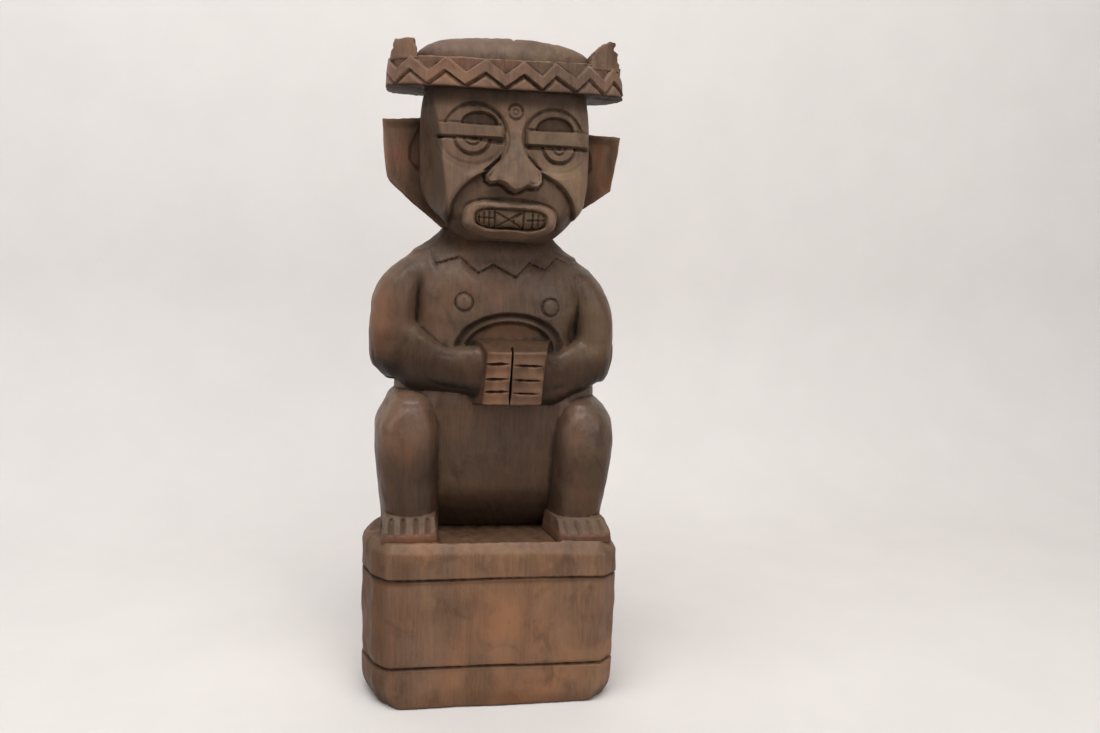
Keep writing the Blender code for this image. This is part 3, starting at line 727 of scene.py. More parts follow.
def ear(s, x, y, z):
    flat = polygon(x, z, EAR[s])
    inner = ease(-flat - 3.2, 2.6)
    out = s * x
    # hollowed towards the head, with a crisp curved step round the bowl
    bowl = polygon(out, z + (1.5 if s > 0 else 0), BOWL)
    hollow = inner * (1.9 + 2.6 * bump(out - 52, 9) * bump(z - 318, 15)) + 2.0 * ease(-bowl, 0.9) * inner
    lean = -15.5 + 0.22 * (68 - out)
    d = smax(flat, lean + hollow - y, 1.0)
    return smax(d, y - (3 - 0.08 * (out - 45)), 1.4)


def head_all(x, y, z):
    h = head(x, y, z)
    ears = {s: ear(s, x, y, z) for s in (-1, 1)}
    return h, ears, smin(smin(h, ears[-1], 1.2), ears[1], 1.2)


def face_regions(x, y, z):
    """Where each raised part of the face lies, by node name."""
    got = {"nose": polygon(x, z, NOSE), "lip_ring": np.maximum(lips_out(x, z), -lips_in(x, z)),
           "teeth": lips_in(x, z), "forehead_boss": near(x, z, *BOSS) - 3.9}
    got = {name: np.maximum(flat, y + 24) for name, flat in got.items()}
    for s, side in SIDES:
        low, high = bar_line(s, x, z)
        x0, x1 = BAR[s][:2]
        bar = -np.minimum(np.minimum(low, high), np.minimum(x - x0, x1 - x))
        cx, cz, a, b = SOCKET[s]
        ring = np.maximum(ellipse(x, z, cx, cz, a - 0.2, b - 0.2), high + 0.9)
        got[side + "_eye"] = np.maximum(np.maximum(ellipse(x, z, *BALL[s]), low + 0.6), y + 20)
        got[side + "_eyelid"] = np.maximum(bar, y + 20)
        got[side + "_brow"] = np.maximum(np.maximum(ring, -moon_shape(s, x, z, 2)), y + 20)
    return got


def head_field(x, y, z):
    h, ears, total = head_all(x, y, z)
    d = mine(total, h, [ears[-1], ears[1]])
    low = None
    for r in face_regions(x, y, z).values():
        low = r if low is None else np.minimum(low, r)
    return under(d, low, 1.0)


def ear_field(s):
    def field(x, y, z):
        h, ears, total = head_all(x, y, z)
        return mine(total, ears[s], [h])
    return field


def face_field(name, thick):
    def field(x, y, z):
        got = face_regions(x, y, z)
        region = got[name]
        if name.endswith(("brow", "eye", "eyelid")):
            region = np.maximum(region, -got["nose"] + 0.2)
        if name.endswith(("brow", "eye")):
            region = np.maximum(region, -got[name.split("_")[0] + "_eyelid"])
        return patch(head(x, y, z), region, thick)
    return field


# --- the hat ----------------------------------------------------------------------
ANGLES = np.linspace(-math.pi, math.pi, 4001)


def squareness(y):
    """The hat is nearly square in front and round behind."""
    return np.where(y < 0, 5.0, 2.6)


def plan(t, hx, hy):
    c, s = np.cos(t), np.sin(t)
    n = squareness(s)
    r = (np.abs(c / hx) ** n + np.abs(s / hy) ** n) ** (-1 / n)
    return r * c, r * s


BRIM_LOW, BRIM_TOP = 347.4, 363.3
BRIM_HALF = (66.0, 34.0)
ACROSS, ALONG = plan(ANGLES, 65.6, 33.6)
LENGTH = np.concatenate([[0], np.cumsum(np.hypot(np.diff(ACROSS), np.diff(ALONG)))])
FRONT = np.interp(-math.pi / 2, ANGLES, LENGTH)
ROUND = LENGTH[-1]
# zigzag corners along the rim from the middle of the front: low, high, low and so on.
# Round the back they are evenly spaced, about 20 mm apart.
ZIG = [-61.5, -53.7, -44.0, -35.0, -23.9, -13.2, -2.4, 7.8, 17.8, 25.3, 36.4, 44.0, 52.0, 58.5]
REST = ROUND - (ZIG[-1] - ZIG[0])
BEHIND = 2 * int(round(REST / 20.0)) - 1
CORNERS_ROUND = ZIG + [ZIG[-1] + REST * i / (BEHIND + 0.0001) for i in range(1, BEHIND)] + [ZIG[0] + ROUND]
BAND_LIFT, BAND_RISE = 4.9, 7.2


def zig_height(s):
    """The zigzag's height, 0 low to 1 high, by way round the rim."""
    s = (s - ZIG[0]) % ROUND + ZIG[0]
    return np.interp(s, CORNERS_ROUND, np.arange(len(CORNERS_ROUND)) % 2).astype(F32)


def rim(x, y, z, inset=0.0):
    """Distance to the brim's outline, which draws in a little towards its top."""
    t = np.clip((z - BRIM_LOW) / 16, 0, 1)
    hx, hy = BRIM_HALF[0] - 1.9 * t, BRIM_HALF[1] - 1.0 * t
    return oval(x, y - MIDDLE_Y, 0, 0, hx - inset, hy - inset, squareness(y - MIDDLE_Y))


def brim_and_band(x, y, z):
    """The carved brim, and the height above the middle of the band."""
    t = np.arctan2(y - MIDDLE_Y, x)
    around = np.interp(t, ANGLES, LENGTH) - FRONT
    middle = BRIM_LOW + BAND_LIFT + BAND_RISE * zig_height(around)
    up, down = z - (middle + 3.3), (middle - 3.5) - z
    cut = 2.0 * ease(up, 0.35) * np.clip(1 - up / 9.0, 0.25, 1)
    cut = cut + 3.0 * ease(down, 0.35) * np.clip(1 - down / 3.4, 0.1, 1)
    cut = cut * ease(BRIM_TOP + 0.3 - z, 0.5)
    top = z - (BRIM_TOP + 0.011 * x)
    bottom = BRIM_LOW - z + 0.004 * np.abs(x) + 0.045 * np.maximum(y + 30, 0)
    d = smax(rim(x, y, z) + cut, top, 0.7)
    return smax(d, bottom, 0.7), np.abs(z - middle + 0.1) - 3.2


def brim_field(x, y, z):
    d, band = brim_and_band(x, y, z)
    return d + np.clip(-0.3 * np.minimum(band, 0), 0, 0.6)


def band_field(x, y, z):
    d, band = brim_and_band(x, y, z)
    r = np.maximum(band, 0)
    d = d + np.where(r < 1, 0.3 * r, 2 * r - 1.7)
    return np.maximum(d, -rim(x, y, z, 4.0))


def crown_field(x, y, z):
    """A low cushion; it starts inside the brim."""
    u, v = (x + 0.6) / 51.0, (y - MIDDLE_Y) / 27.5
    k = (np.abs(u) ** 3.0 + np.abs(v) ** 2.8 + np.abs((z - 361.0) / 17.2) ** 2.4) ** (1 / 2.6)
    dome = (k - 1) * 16.0
    notch = 0.8 * vee(x - 3.5, 1.6) * ease(z - 375, 1)
    return np.maximum(dome + notch, 360 - z)


LUG = {
    -1: [(-62.9, 360), (-62.6, 365.4), (-60.9, 367.0), (-61.0, 370.0), (-60.2, 371.2), (-55.5, 371.8),
         (-50.4, 371.4), (-49.2, 366.5), (-48.4, 363.5), (-48.4, 360)],
    1: [(43.5, 360), (43.5, 364.6), (46.0, 371.0), (50.5, 375.0), (54.0, 376.2), (57.8, 376.6), (57.0, 372.4),
        (60.2, 371.2), (59.6, 366.8), (61.6, 366.0), (61.4, 360)],
}


def lug_field(s):
    """A ragged stub of wood on a corner of the brim."""
    def field(x, y, z):
        rough = 0.22 * np.sin(y * 0.9 + z) + 0.18 * np.sin(z * 1.9 + x * 0.8)
        d = smax(polygon(x, z, LUG[s]) + rough, np.abs(y + 34.8) - 13.3, 1.2)
        d = smax(d, rim(x, y, z, 0.4), 1.2)
        return np.maximum(d, 361 - z)
    return field


# --- the plinth ---------------------------------------------------------------------
def plinth_field(x, y, z):
    """A block, flat in front with cut corners and round behind."""
    low = np.clip(1 - z / 15, 0, 1) ** 2
    faces = (
        (0, -1, 55.8 - 0.3 * low), (-0.688, -0.726, 82.8 - 4.5 * low), (-0.938, -0.346, 82.7 - 5 * low),
        (0.703, -0.711, 82.9 - 4.5 * low), (0.999, -0.047, 72.6 - 5 * low),
    )
    d = oval(x, np.maximum(y + 28, 0), MIDDLE_X, 0, 74.5 - 5 * low, 52.6 - 3 * low, 2.5)
    for nx, ny, at in faces:
        d = smax(d, x * nx + y * ny - at, 1.1)
    # the upper edge is bevelled all round, a little unevenly
    bevel = 92.6 - 0.018 * x + 0.5 * np.sin(x * 0.07 + 1)
    d = smax(d, d * 0.72 + (z - bevel) * 0.69, 0.8)
    # two lines are cut all round, with the wood eased off beside each
    g1 = z - (77.6 - 0.006 * x + 0.35 * np.sin(x * 0.045 + 0.6) + 0.3 * np.sin(y * 0.06))
    g2 = z - (24.2 - 0.004 * x + 0.25 * np.sin(x * 0.05 + 2.2) + 0.3 * np.sin(y * 0.07))
    d = d + 1.9 * vee(g1, 1.15) * ease(-g1 + 0.9, 0.9) + 0.35 * ease(-g1, 0.4) * np.clip(1 + g1 / 9, 0, 1)
    d = d + 2.0 * vee(g2, 1.2) + 0.4 * ease(g2, 0.4) * np.clip(1 - g2 / 8, 0, 1)
    d = smax(d, z - (PLINTH_TOP - 0.008 * x), 0.7)
    # between the feet the floor is dished with the gouge
    dish = 2.4 * ease(35.2 - np.abs(x - 1), 1.2) * ease(y + 49.0, 2.0) * ease(-8 - y, 4.0)
    dish = dish + 0.35 * np.sin(x * 0.52 + 0.8 * np.sin(y * 0.3)) * np.sin(y * 0.31 + 0.4)
    dish = dish - 1.3 * bump(x + 17, 3.0) * bump(y + 38, 2.2)
    d = np.maximum(d, z - (PLINTH_TOP - 0.1 - 0.008 * x) + dish)
    return smax(d, -z, 0.6)


# --- wood -----------------------------------------------------------------------------
class Nodes:
    """Short hands for building a shader."""

    def __init__(self, name):
        self.mat = bpy.data.materials.new(name)
        self.mat.use_nodes = True
        self.tree = self.mat.node_tree
        self.shader = self.tree.nodes["Principled BSDF"]

    def put(self, socket, value):
        if isinstance(value, bpy.types.NodeSocket):
            self.tree.links.new(value, socket)
        elif hasattr(socket.default_value, "__len__") and len(socket.default_value) == 4 and len(value) == 3:
            socket.default_value = (*value, 1.0)
        else:
            socket.default_value = value

    def add(self, kind, out=0, **inputs):
        node = self.tree.nodes.new(kind)
        for key, value in inputs.items():
            if key.startswith("_"):
                setattr(node, key[1:], value)
            else:
                self.put(node.inputs[key.replace("__", " ")], value)
        return node.outputs[out]

    def math(self, op, a, b, clamp=False):
        node = self.tree.nodes.new("ShaderNodeMath")
        node.operation, node.use_clamp = op, clamp
        self.put(node.inputs[0], a)
        self.put(node.inputs[1], b)
        return node.outputs[0]

    def plus(self, a, b, clamp=False):
        return self.math("ADD", a, b, clamp)

    def times(self, a, b, clamp=False):
        return self.math("MULTIPLY", a, b, clamp)

    def mix(self, factor, a, b, how="MIX"):
        node = self.tree.nodes.new("ShaderNodeMix")
        node.data_type, node.blend_type, node.clamp_factor = "RGBA", how, True
        self.put(node.inputs[0], factor)
        self.put(node.inputs[6], a)
        self.put(node.inputs[7], b)
        return node.outputs[2]

    def ramp(self, value, *stops):
        node = self.tree.nodes.new("ShaderNodeMapRange")
        node.clamp = True
        node.interpolation_type = "SMOOTHSTEP"
        self.put(node.inputs[0], value)
        for i, v in enumerate(stops):
            node.inputs[i + 1].default_value = v
        return node.outputs[0]

    def noise(self, vector, scale, detail=4.0, rough=0.55, warp=0.0):
        return self.add("ShaderNodeTexNoise", 0, Vector=vector, Scale=scale, Detail=detail, Roughness=rough,
                        Distortion=warp)

    def moved(self, vector, scale=(1.0, 1.0, 1.0), shift=(0.0, 0.0, 0.0)):
        return self.add("ShaderNodeMapping", 0, Vector=vector, Scale=scale, Location=shift)

    def attribute(self, name):
        return self.add("ShaderNodeAttribute", 2, _attribute_name=name)


def scaled(colour, *k):
    """A colour times one number, or times a number for each channel."""
    return tuple(c * f for c, f in zip(colour, k * 3 if len(k) == 1 else k))


def wood(name, dark, light, warm, film, dusty, worn, rough, warmth, shine=0.26):
    """Old carved hardwood: upright grain, a grey-brown film, warm where it is
    rubbed, dark in the cuts (dirt there, with painted shade), and painted darker
    where shade falls: on what faces down and wherever a piece asks for it."""
    n = Nodes(name)
    place = n.add("ShaderNodeTexCoord", 3)
    # long fibres: the pattern is drawn out about 18 times along the block
    fibre = n.moved(place, (1.0, 1.0, 0.055))
    wavy = n.moved(place, (1.0, 1.0, 0.22))
    lines = n.noise(fibre, 950.0, 5.0, 0.62, 0.15)
    bands = n.noise(fibre, 190.0, 4.0, 0.55, 0.4)
    streak = n.noise(wavy, 70.0, 3.0, 0.5, 0.3)
    cloud = n.noise(place, 19.0, 5.0, 0.62, 0.5)
    haze = n.noise(place, 44.0, 5.0, 0.65, 0.3)
    speck = n.noise(place, 420.0, 4.0, 0.7)
    blotch = n.noise(n.moved(place, (1.0, 1.0, 0.6)), 31.0, 6.0, 0.62, 0.8)
    hollow = n.attribute("hollow")
    up = n.add("ShaderNodeSeparateXYZ", 2, Vector=n.add("ShaderNodeNewGeometry", 1))

    tone = n.times(n.ramp(lines, 0.34, 0.66, 0, 1), 0.30)
    tone = n.plus(tone, n.times(n.ramp(bands, 0.30, 0.70, 0, 1), 0.24))
    tone = n.plus(tone, n.times(n.ramp(streak, 0.28, 0.74, 0, 1), 0.24))
    tone = n.plus(tone, n.times(n.ramp(blotch, 0.30, 0.70, 0, 1), 0.36))
    colour = n.mix(tone, dark, light)
    # warm heartwood shows in soft patches, and wherever tint asks for it; on the right shoulder's outer edge the
    # tint is a painted highlight
    warm_patch = n.plus(n.times(n.ramp(cloud, 0.42, 0.68, 0, 1), warmth), n.attribute("tint"))
    warm_patch = n.times(warm_patch, n.ramp(streak, 0.2, 0.7, 0.55, 1.0), clamp=True)
    colour = n.mix(warm_patch, colour, warm)
    ochre = n.noise(n.moved(place, shift=(0.11, 0.47, 0.23)), 26.0, 6.0, 0.64, 0.6)
    colour = n.mix(n.ramp(ochre, 0.50, 0.70, 0, 0.55), colour, scaled(light, 1.25, 1.38, 1.05))
    # dusty film, more on what faces up
    dust = n.times(n.ramp(haze, 0.36, 0.70, 0.15, 1), dusty)
    dust = n.plus(dust, n.ramp(up, 0.25, 1.0, 0, 0.28), clamp=True)
    dust = n.times(dust, n.ramp(speck, 0.25, 0.6, 0.72, 1.0))
    colour = n.mix(dust, colour, film)
    # dark smudges of old polish and dirt
    smoke = n.noise(n.moved(place, (1.0, 1.0, 0.75), (0.3, 0.1, 0.7)), 47.0, 7.0, 0.66, 0.7)
    colour = n.mix(n.ramp(smoke, 0.50, 0.68, 0, 0.52), colour, scaled(dark, 0.8))
    # rubbed edges, in patches, and the cuts darkened: dirt in them, with painted shade
    edge = n.ramp(hollow, -0.10, -0.50, 0, 1)
    edge = n.times(edge, n.ramp(haze, 0.42, 0.66, 0.10 * worn, 0.9 * worn), clamp=True)
    colour = n.mix(edge, colour, tuple(min(1, c * 1.25 + 0.02) for c in light))
    colour = n.mix(n.ramp(hollow, 0.04, 0.50, 0, 0.90), colour, scaled(dark, 0.28))
    # painted shade on what faces down, added to each piece's darkening attribute, which is mostly painted shade
    # with some dirt on the plinth
    shade_and_dirt_mask = n.times(n.attribute("grime"), n.ramp(blotch, 0.25, 0.7, 0.75, 1.15))
    shade_and_dirt_mask = n.plus(n.ramp(up, -0.75, 0.05, 0.45, 0), shade_and_dirt_mask, clamp=True)
    colour = n.mix(shade_and_dirt_mask, colour, scaled(dark, 0.55))
    # pores: short dark ticks along the grain
    pores = n.add("ShaderNodeTexVoronoi", 0, Vector=fibre, Scale=1500.0, Randomness=1.0)
    colour = n.mix(n.ramp(pores, 0.05, 0.20, 0.42, 0), colour, scaled(dark, 0.45))
    n.put(n.shader.inputs["Base Color"], colour)

    r = n.plus(n.ramp(haze, 0.3, 0.7, rough - 0.09, rough + 0.10), n.ramp(hollow, -0.25, 0.3, -0.07, 0.16))
    r = n.plus(r, n.times(n.ramp(lines, 0.3, 0.7, -0.5, 0.5), 0.10), clamp=True)
    n.put(n.shader.inputs["Roughness"], r)
    n.put(n.shader.inputs["Specular IOR Level"], n.ramp(shade_and_dirt_mask, 0.0, 0.5, shine, shine * 0.4))
    n.shader.inputs["Metallic"].default_value = 0.0

    high = n.plus(n.times(lines, 0.00022), n.times(bands, 0.00022))
    high = n.plus(high, n.times(n.ramp(pores, 0.0, 0.2, 0, 1), 0.00005))
    high = n.plus(high, n.times(speck, 0.00013))
    high = n.plus(high, n.times(n.noise(wavy, 150.0, 2.0, 0.5), 0.00022))
    n.put(n.shader.inputs["Normal"], n.add("ShaderNodeBump", 0, Height=high, Distance=1.0, Strength=0.75))
    n.mat.diffuse_color = (*light, 1.0)
    return n.mat


# each: dark, light and warm wood, film; how dusty, worn, rough and warm it is; its shine
DARK, LIGHT, WARM = (0.036, 0.021, 0.014), (0.128, 0.074, 0.047), (0.210, 0.092, 0.046)
FILM = (0.150, 0.100, 0.068)
body_wood = wood("body_wood", DARK, LIGHT, WARM, FILM, 0.20, 0.45, 0.42, 0.52, 0.34)
leg_wood = wood("leg_wood", DARK, LIGHT, WARM, FILM, 0.20, 0.45, 0.42, 0.60, 0.36)
face_wood = wood("face_wood", (0.062, 0.038, 0.026), (0.196, 0.122, 0.081), (0.265, 0.140, 0.078),
                 (0.195, 0.138, 0.099), 0.36, 0.75, 0.52, 0.40)
ear_wood = wood("ear_wood", (0.070, 0.038, 0.024), (0.210, 0.126, 0.082), (0.310, 0.120, 0.062),
                (0.20, 0.14, 0.098), 0.35, 0.60, 0.52, 0.50)
tooth_wood = wood("tooth_wood", (0.050, 0.031, 0.020), (0.150, 0.094, 0.060), (0.17, 0.10, 0.058),
                  (0.14, 0.10, 0.07), 0.35, 0.45, 0.62, 0.30)
hand_wood = wood("hand_wood", (0.044, 0.024, 0.015), (0.140, 0.077, 0.046), (0.240, 0.112, 0.055),
                 FILM, 0.12, 1.0, 0.46, 0.65)
foot_wood = wood("foot_wood", (0.042, 0.025, 0.017), (0.132, 0.082, 0.054), (0.205, 0.084, 0.047),
                 FILM, 0.30, 0.8, 0.50, 0.45)
hat_wood = wood("hat_wood", (0.052, 0.029, 0.019), (0.190, 0.109, 0.071), (0.290, 0.128, 0.069),
                FILM, 0.30, 1.0, 0.52, 0.55)
crown_wood = wood("crown_wood", (0.042, 0.024, 0.016), (0.140, 0.082, 0.055), (0.200, 0.095, 0.053),
                  FILM, 0.24, 0.80, 0.52, 0.45)
plinth_wood = wood("plinth_wood", (0.082, 0.042, 0.023), (0.225, 0.114, 0.063), (0.315, 0.138, 0.060),
                   (0.175, 0.125, 0.090), 0.34, 0.60, 0.50, 0.66)


# --- make every piece -------------------------------------------------------------------
def chest_warmth_and_highlight(p):
    """A painted highlight, ochre, on the outer edge of the right shoulder, and the warm wood of the chest hollows.
    """
    x, y, z = p.T
    t = bump(x + 71, 7) * bump(z - 224, 22)
    t += 0.30 * bump(x + 36, 12) * bump(z - 222, 12) * (y < 0)
    t += 0.55 * ease(-arch_in(x, z), 1.0) * (z > 203) * (y < 0)
    return t


def body_grime(p):
    """Painted shade: the lap, the armpits and the neck are darkest."""
    x, y, z = p.T
    lap = ease(180 - z, 7) * (0.30 + 0.14 * ease(135 - z, 22)) * (np.abs(x) < 36)
    arms = 0.55 * sum(bump(path(x, z, line), 4.5) for line in ARMPITS)
    arch = 0.12 * ease(-arch_in(x, z), 1.0) * ease(z - 205, 3)
    arch = arch + 0.35 * bump(x - 4, 26) * bump(z - 250, 13)
    neck = 0.55 * ease(z - 263, 5)
    return np.clip((lap + arms + arch) * (y < 2) + neck, 0, 0.85)


def arch_grime(p):
    """The whole band a little darker in tone, with painted shade where the chest rolls in to the arch."""
    out = arch_out(p[:, 0], p[:, 2])
    return np.clip(0.22 + 0.40 * bump(out + 1.5, 2.2), 0, 0.6)


def arm_grime(p):
    """Painted shade: the undersides of the forearms, with less over the rest of each arm."""
    x, y, z = p.T
    dark = 0.16 + 0.48 * ease(200 - z, 9) + 0.22 * ease(-x - 28, 6) * ease(216 - z, 4) * ease(-12 - y, 5)
    return np.clip(dark, 0, 0.7)


def leg_grime(p):
    """Painted shade on the shins and the insides of the legs."""
    x, _, z = p.T
    return np.clip(0.42 * ease(150 - z, 14) + 0.40 * ease(38 - np.abs(x), 4) * ease(176 - z, 5), 0, 0.7)


def hand_tint(p):
    """The fists are rubbed red on one side and ochre on the other."""
    return 0.45 * bump(p[:, 0] + 3, 9) + 0.25 * bump(p[:, 0] - 16, 9)


def hand_grime(p):
    """Painted shade: the tops and flanks of the fists are darker than their worn fronts."""
    return 0.58 * ease(p[:, 1] + 45.3, 1.0)


def foot_tint(p):
    """The toe ends are worn red."""
    return 0.6 * ease(102.6 - p[:, 2], 0.8)


# a little darker all over, with painted shade low down where the foot meets the plinth
def foot_grime(p):
    return 0.16 + 0.20 * ease(99.5 - p[:, 2], 1.5)


def face_grime(p):
    """Painted shade: a painted shadow under the brim, and painted shade in the half moons and sockets, round the
    mouth, on the right cheek, down the right side and over the back of the head.
    """
    x, y, z = p.T
    dark = 0.85 * ease(z - 340.5, 3.5)
    muzzle = ease(-ellipse(x, z, *FOLD), 2.0) * ease(308 - z, 3) * ease(lips_out(x, z) - 0.8, 1.2)
    dark += 0.32 * muzzle * ease(polygon(x, z, NOSE), 0.8)
    for s in (-1, 1):
        mx, mz, ma, mb = MOON[s]
        dark += 0.38 * ease(-np.maximum(ellipse(x, z, mx, mz, ma, mb), mz - z), 0.5)
        dark += 0.14 * ease(-ellipse(x, z, *SOCKET[s]), 1.5)
    dark += 0.16 * bump(x + 25, 12) * bump(z - 302, 14)
    dark += 0.50 * ease(np.interp(z, *RIDGE) - x + 0.8, 1.2)
    front = ease(-18 - y, 8)
    return np.clip(dark * front + 0.25 * (1 - front), 0, 0.85)


def ear_tint(p):
    """A reddish streak down the flare of each ear."""
    return 0.6 * bump(np.abs(p[:, 0]) - 57, 4) * bump(p[:, 2] - 314, 13)


# painted shade in the hollow next to the head and low on each ear
def ear_grime(p):
    out = np.abs(p[:, 0])
    return np.clip(0.55 * bump(out - 47, 8) + 0.25 * ease(306 - p[:, 2], 8), 0, 0.7)


# painted shade on the underside of the brim
def brim_grime(p):
    return 0.75 * ease(348.6 - p[:, 2], 0.9)


def plinth_tint(p):
    x, y, z = p.T
    t = 0.42 * bump(x - 8, 34) * bump(z - 52, 26) + 0.25 * bump(x - 30, 26) * bump(z - 10, 14)
    t -= 0.5 * bump(x - 50, 12) * bump(z - 48, 17) + 0.45 * bump(x + 48, 10) * bump(z - 55, 30)
    return t * (y < -40)


# painted shade in the two cut lines, on the side facets at the figure's right, in the dish between the feet and at
# the very bottom; the smudges are dirt
def plinth_grime(p):
    x, y, z = p.T
    lines = 0.5 * bump(z - 76.5, 1.6) + 0.5 * bump(z - 24.5, 1.6)
    sides = 0.32 * ease(-63 - x, 3) + 0.14 * ease(-48 - x, 6)
    smudge = 0.06 * bump(x - 47, 12) * bump(z - 50, 16) + 0.28 * bump(x + 30, 9) * bump(z - 60, 10)
    smudge += 0.25 * bump(x - 5, 22) * bump(z - 8, 8) + 0.3 * bump(x + 52, 7) * bump(z - 84, 7)
    dish = 0.55 * ease(z - 93.8, 0.6) * ease(35 - np.abs(x - 1), 2) * ease(y + 48.5, 1.5) * (y < 0)
    return np.clip(lines + sides + smudge + dish + 0.25 * ease(7 - z, 5), 0, 0.8)


# each member: the box it lies in, its cell size, its wood, where it is warm (with a painted highlight on the right
# shoulder) and where it is painted darker, mostly painted shade
for name, box, h, material, tint, grime in (
    ("torso", ((-62, 62), (-38, 50), (95, 279)), (0.95, 1.1, 0.95), body_wood, chest_warmth_and_highlight, body_grime),
    ("right_upper_arm", ((-76, -30), (-32, 34), (178, 262)), 1.1, body_wood, chest_warmth_and_highlight, arm_grime),
    ("left_upper_arm", ((28, 76), (-32, 34), (178, 262)), 1.1, body_wood, None, arm_grime),
    ("right_forearm", ((-76, 4), (-46, 16), (172, 224)), 1.0, body_wood, None, arm_grime),
    ("left_forearm", ((8, 76), (-46, 16), (168, 218)), 1.0, body_wood, None, arm_grime),
    ("right_hand", ((-28, 9), (-49, -22), (172, 216)), 0.6, hand_wood, hand_tint, hand_grime),
    ("left_hand", ((3, 44), (-49, -22), (172, 216)), 0.6, hand_wood, hand_tint, hand_grime),
    ("right_leg", ((-75, -26), (-47, 34), (94, 185)), 1.1, leg_wood, None, leg_grime),
    ("left_leg", ((25, 75), (-47, 34), (94, 185)), 1.1, leg_wood, None, leg_grime),
    ("right_foot", ((-70, -30), (-53, -18), (94, 117)), 0.5, foot_wood, foot_tint, foot_grime),
    ("left_foot", ((28, 71), (-53, -18), (94, 117)), 0.5, foot_wood, foot_tint, foot_grime),
):
    carve(name + "_carving", [name], body_field(name), box, h, material, refine=4 if "forearm" in name else 2,
          tint=tint, grime=grime)
carve("collar_carving", ["collar"], chest_field(collar_region), ((-58, 58), (-36, -4), (246, 270)),
      (0.8, 0.9, 0.6), body_wood, grime=body_grime)
carve("rib_arch_carving", ["rib_arch"], chest_field(arch_region), ((-29, 41), (-38, -24), (201, 231)), 0.6,
      body_wood, grime=arch_grime)
for k, side in enumerate(("right", "left")):
    cx, cz = NIPPLES[k]
    carve(f"{side}_nipple_carving", [f"{side}_nipple"], chest_field(nipple_region(k)),
          ((cx - 6, cx + 6), (-38, -24), (cz - 6, cz + 6)), 0.45, body_wood)

depths = np.concatenate([np.arange(-50, -26, 0.62), np.arange(-26, 40, 1.3)])  # finest at the face
carve("head_carving", ["head"], head_field, None, None, face_wood, grime=face_grime,
      axes=(span(-49, 50, 0.62), depths, span(263, 351, 0.62)))
for s, side in SIDES:
    box = ((-70, -28), (-19, 6), (272, 337)) if s < 0 else ((28, 71), (-19, 6), (276, 334))
    carve(f"{side}_ear_carving", [f"{side}_ear"], ear_field(s), box, 0.7, ear_wood, tint=ear_tint, grime=ear_grime)
    wide = (-38, 1) if s < 0 else (8, 47)
    for part in ("eye", "eyelid", "brow"):
        carve(f"{side}_{part}_carving", [f"{side}_{part}"], face_field(f"{side}_{part}", 3.0),
              (wide, (-48, -30), (308, 342)), 0.42, face_wood, grime=face_grime)
carve("nose_carving", ["nose"], face_field("nose", 9.0), ((-14, 22), (-56, -28), (292, 340)), 0.5, face_wood,
      grime=face_grime)
carve("boss_carving", ["forehead_boss"], face_field("forehead_boss", 2.5), ((-2, 10), (-46, -36), (331, 343)),
      0.35, face_wood)
carve("lip_ring_carving", ["lip_ring"], face_field("lip_ring", 7.0), ((-24, 31), (-52, -32), (266, 292)), 0.5,
      face_wood)
carve("teeth_carving", ["teeth"], face_field("teeth", 3.5), ((-20, 26), (-50, -36), (272, 288)), 0.38, tooth_wood)

for name, node, field in (("hat_brim_carving", "hat_brim", brim_field),
                          ("hat_band_carving", "hat_zigzag_band", band_field)):
    carve(name, [node], field, ((-67, 67), (-50.5, 19), (346, 366)), (0.7, 0.7, 0.45), hat_wood,
          grime=brim_grime, slab=False)
carve("hat_crown_carving", ["hat_crown"], crown_field, ((-53, 52), (-44, 13), (359, 379)), 0.8, crown_wood,
      slab=False)
for s, side in SIDES:
    box = ((-64, -47), (-50, -20), (360, 373)) if s < 0 else ((42, 63), (-50, -20), (360, 378))
    carve(f"hat_{side}_lug_carving", [f"hat_{side}_lug"], lug_field(s), box, 0.5, hat_wood, slab=False)

# heights of the plinth's cells: fine at the two lines and at the top
heights = np.concatenate([
    np.arange(-1.2, 20, 1.5), np.arange(20.2, 28, 0.4), np.arange(28.2, 74, 1.7), np.arange(74.2, 81, 0.4),
    np.arange(81.5, 89.5, 1.4), np.arange(89.8, 100, 0.6),
])
carve("plinth_carving", ["plinth"], plinth_field, None, None, plinth_wood, tint=plinth_tint, grime=plinth_grime,
      slab=False, axes=(span(-78, 72, 1.2), span(-56, 25, 1.2), heights))
print("pieces", len(MADE), "points", sum(v[0] for v in MADE.values()), MADE)


# --- stage, camera and light --------------------------------------------------------------
def stage_material(name, colour, rough):
    n = Nodes(name)
    place = n.add("ShaderNodeTexCoord", 3)
    mottle = n.ramp(n.noise(place, 14.0, 5.0, 0.6), 0.3, 0.7, 0.0, 1.0)
    n.put(n.shader.inputs["Base Color"], n.mix(mottle, tuple(c * 0.97 for c in colour), colour))
    n.put(n.shader.inputs["Roughness"], rough)
    weave = n.noise(place, 900.0, 3.0)
    n.put(n.shader.inputs["Normal"], n.add("ShaderNodeBump", 0, Height=weave, Distance=0.0002, Strength=0.3))
    return n.mat


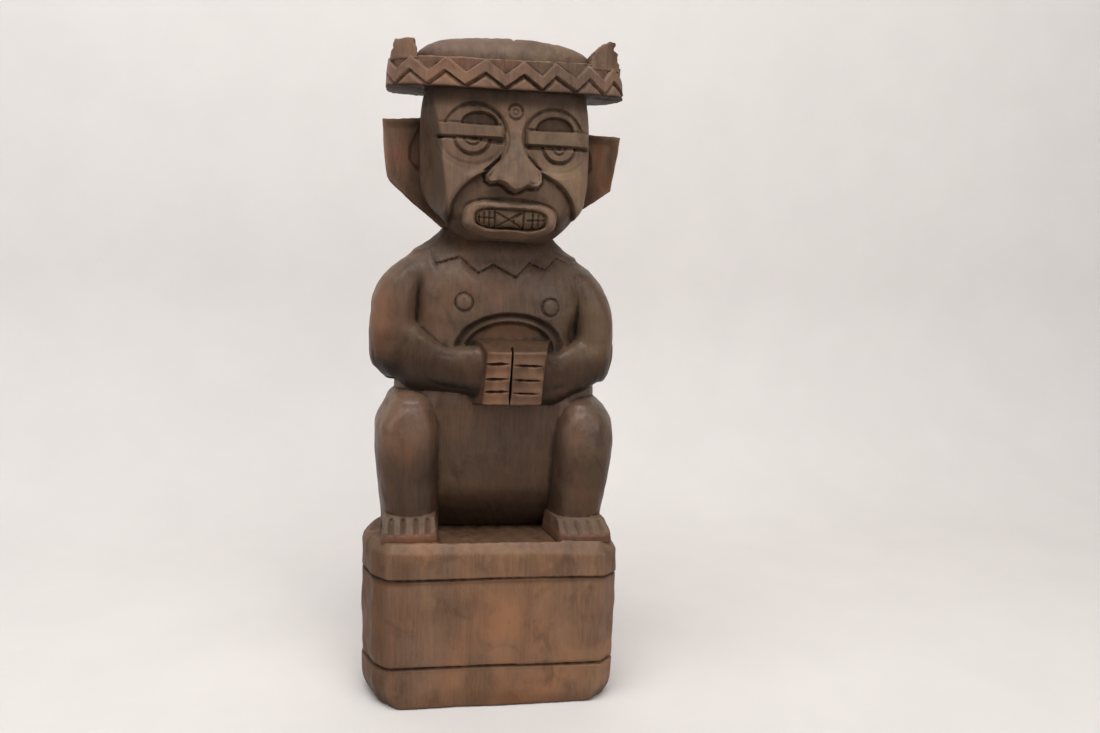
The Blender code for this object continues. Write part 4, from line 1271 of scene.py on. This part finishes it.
def sweep():
    """A pale floor that curves up into a plain backdrop."""
    line = [(-2.6, 0.0), (-0.6, 0.0), (0.22, 0.0)]
    for k in range(1, 13):
        t = math.radians(90 * k / 12)
        line.append((0.22 + 0.22 * math.sin(t), 0.22 - 0.22 * math.cos(t)))
    line.append((0.44, 2.6))
    verts, faces = [], []
    for y, z in line:
        verts += [(-2.8, y, z - 0.0003), (2.8, y, z - 0.0003)]
    for k in range(len(line) - 1):
        faces.append((2 * k, 2 * k + 1, 2 * k + 3, 2 * k + 2))
    mesh = bpy.data.meshes.new("studio_floor")
    mesh.from_pydata(verts, [], faces)
    mesh.polygons.foreach_set("use_smooth", np.ones(len(faces), bool))
    mesh.materials.append(stage_material("pale_floor", (0.72, 0.695, 0.685), 0.8))
    obj = bpy.data.objects.new("studio_floor", mesh)
    bpy.context.scene.collection.objects.link(obj)


sweep()


def area(name, at, target, size, power, colour=(1, 1, 1)):
    data = bpy.data.lights.new(name, "AREA")
    data.shape, data.size, data.size_y = "RECTANGLE", size[0], size[1]
    data.energy, data.color = power, colour
    obj = bpy.data.objects.new(name, data)
    obj.location = at
    way = [t - a for t, a in zip(target, at)]
    obj.rotation_euler = Vector(way).to_track_quat("-Z", "Y").to_euler()
    bpy.context.scene.collection.objects.link(obj)


area("ceiling_light", (-0.10, -0.45, 1.45), (0, 0, 0.2), (1.1, 0.8), 16.5, (1.0, 0.975, 0.94))
area("window_left", (-1.35, -0.55, 0.85), (0, 0, 0.2), (0.8, 1.0), 5.0, (0.95, 0.98, 1.0))
area("room_front", (0.80, -1.45, 0.85), (0, 0, 0.2), (1.4, 1.0), 10.0, (1.0, 0.97, 0.94))

world = bpy.data.worlds.new("room")
world.use_nodes = True
world.node_tree.nodes["Background"].inputs["Color"].default_value = (0.92, 0.91, 0.90, 1)
world.node_tree.nodes["Background"].inputs["Strength"].default_value = 0.26
bpy.context.scene.world = world

camera = bpy.data.cameras.new("camera")
camera.sensor_width, camera.lens = 36.0, 888.0 / 1100.0 * 36.0
view = bpy.data.objects.new("camera", camera)
view.location = (-0.04695, -0.5183, 0.27735)
turn = (Matrix.Rotation(math.radians(-9.0), 3, "Z") @ Matrix.Rotation(math.radians(81.0), 3, "X")
        @ Matrix.Rotation(math.radians(2.0), 3, "Z"))
view.rotation_euler = turn.to_euler()
bpy.context.scene.collection.objects.link(view)
bpy.context.scene.camera = view
bpy.context.scene.view_settings.view_transform = "Standard"
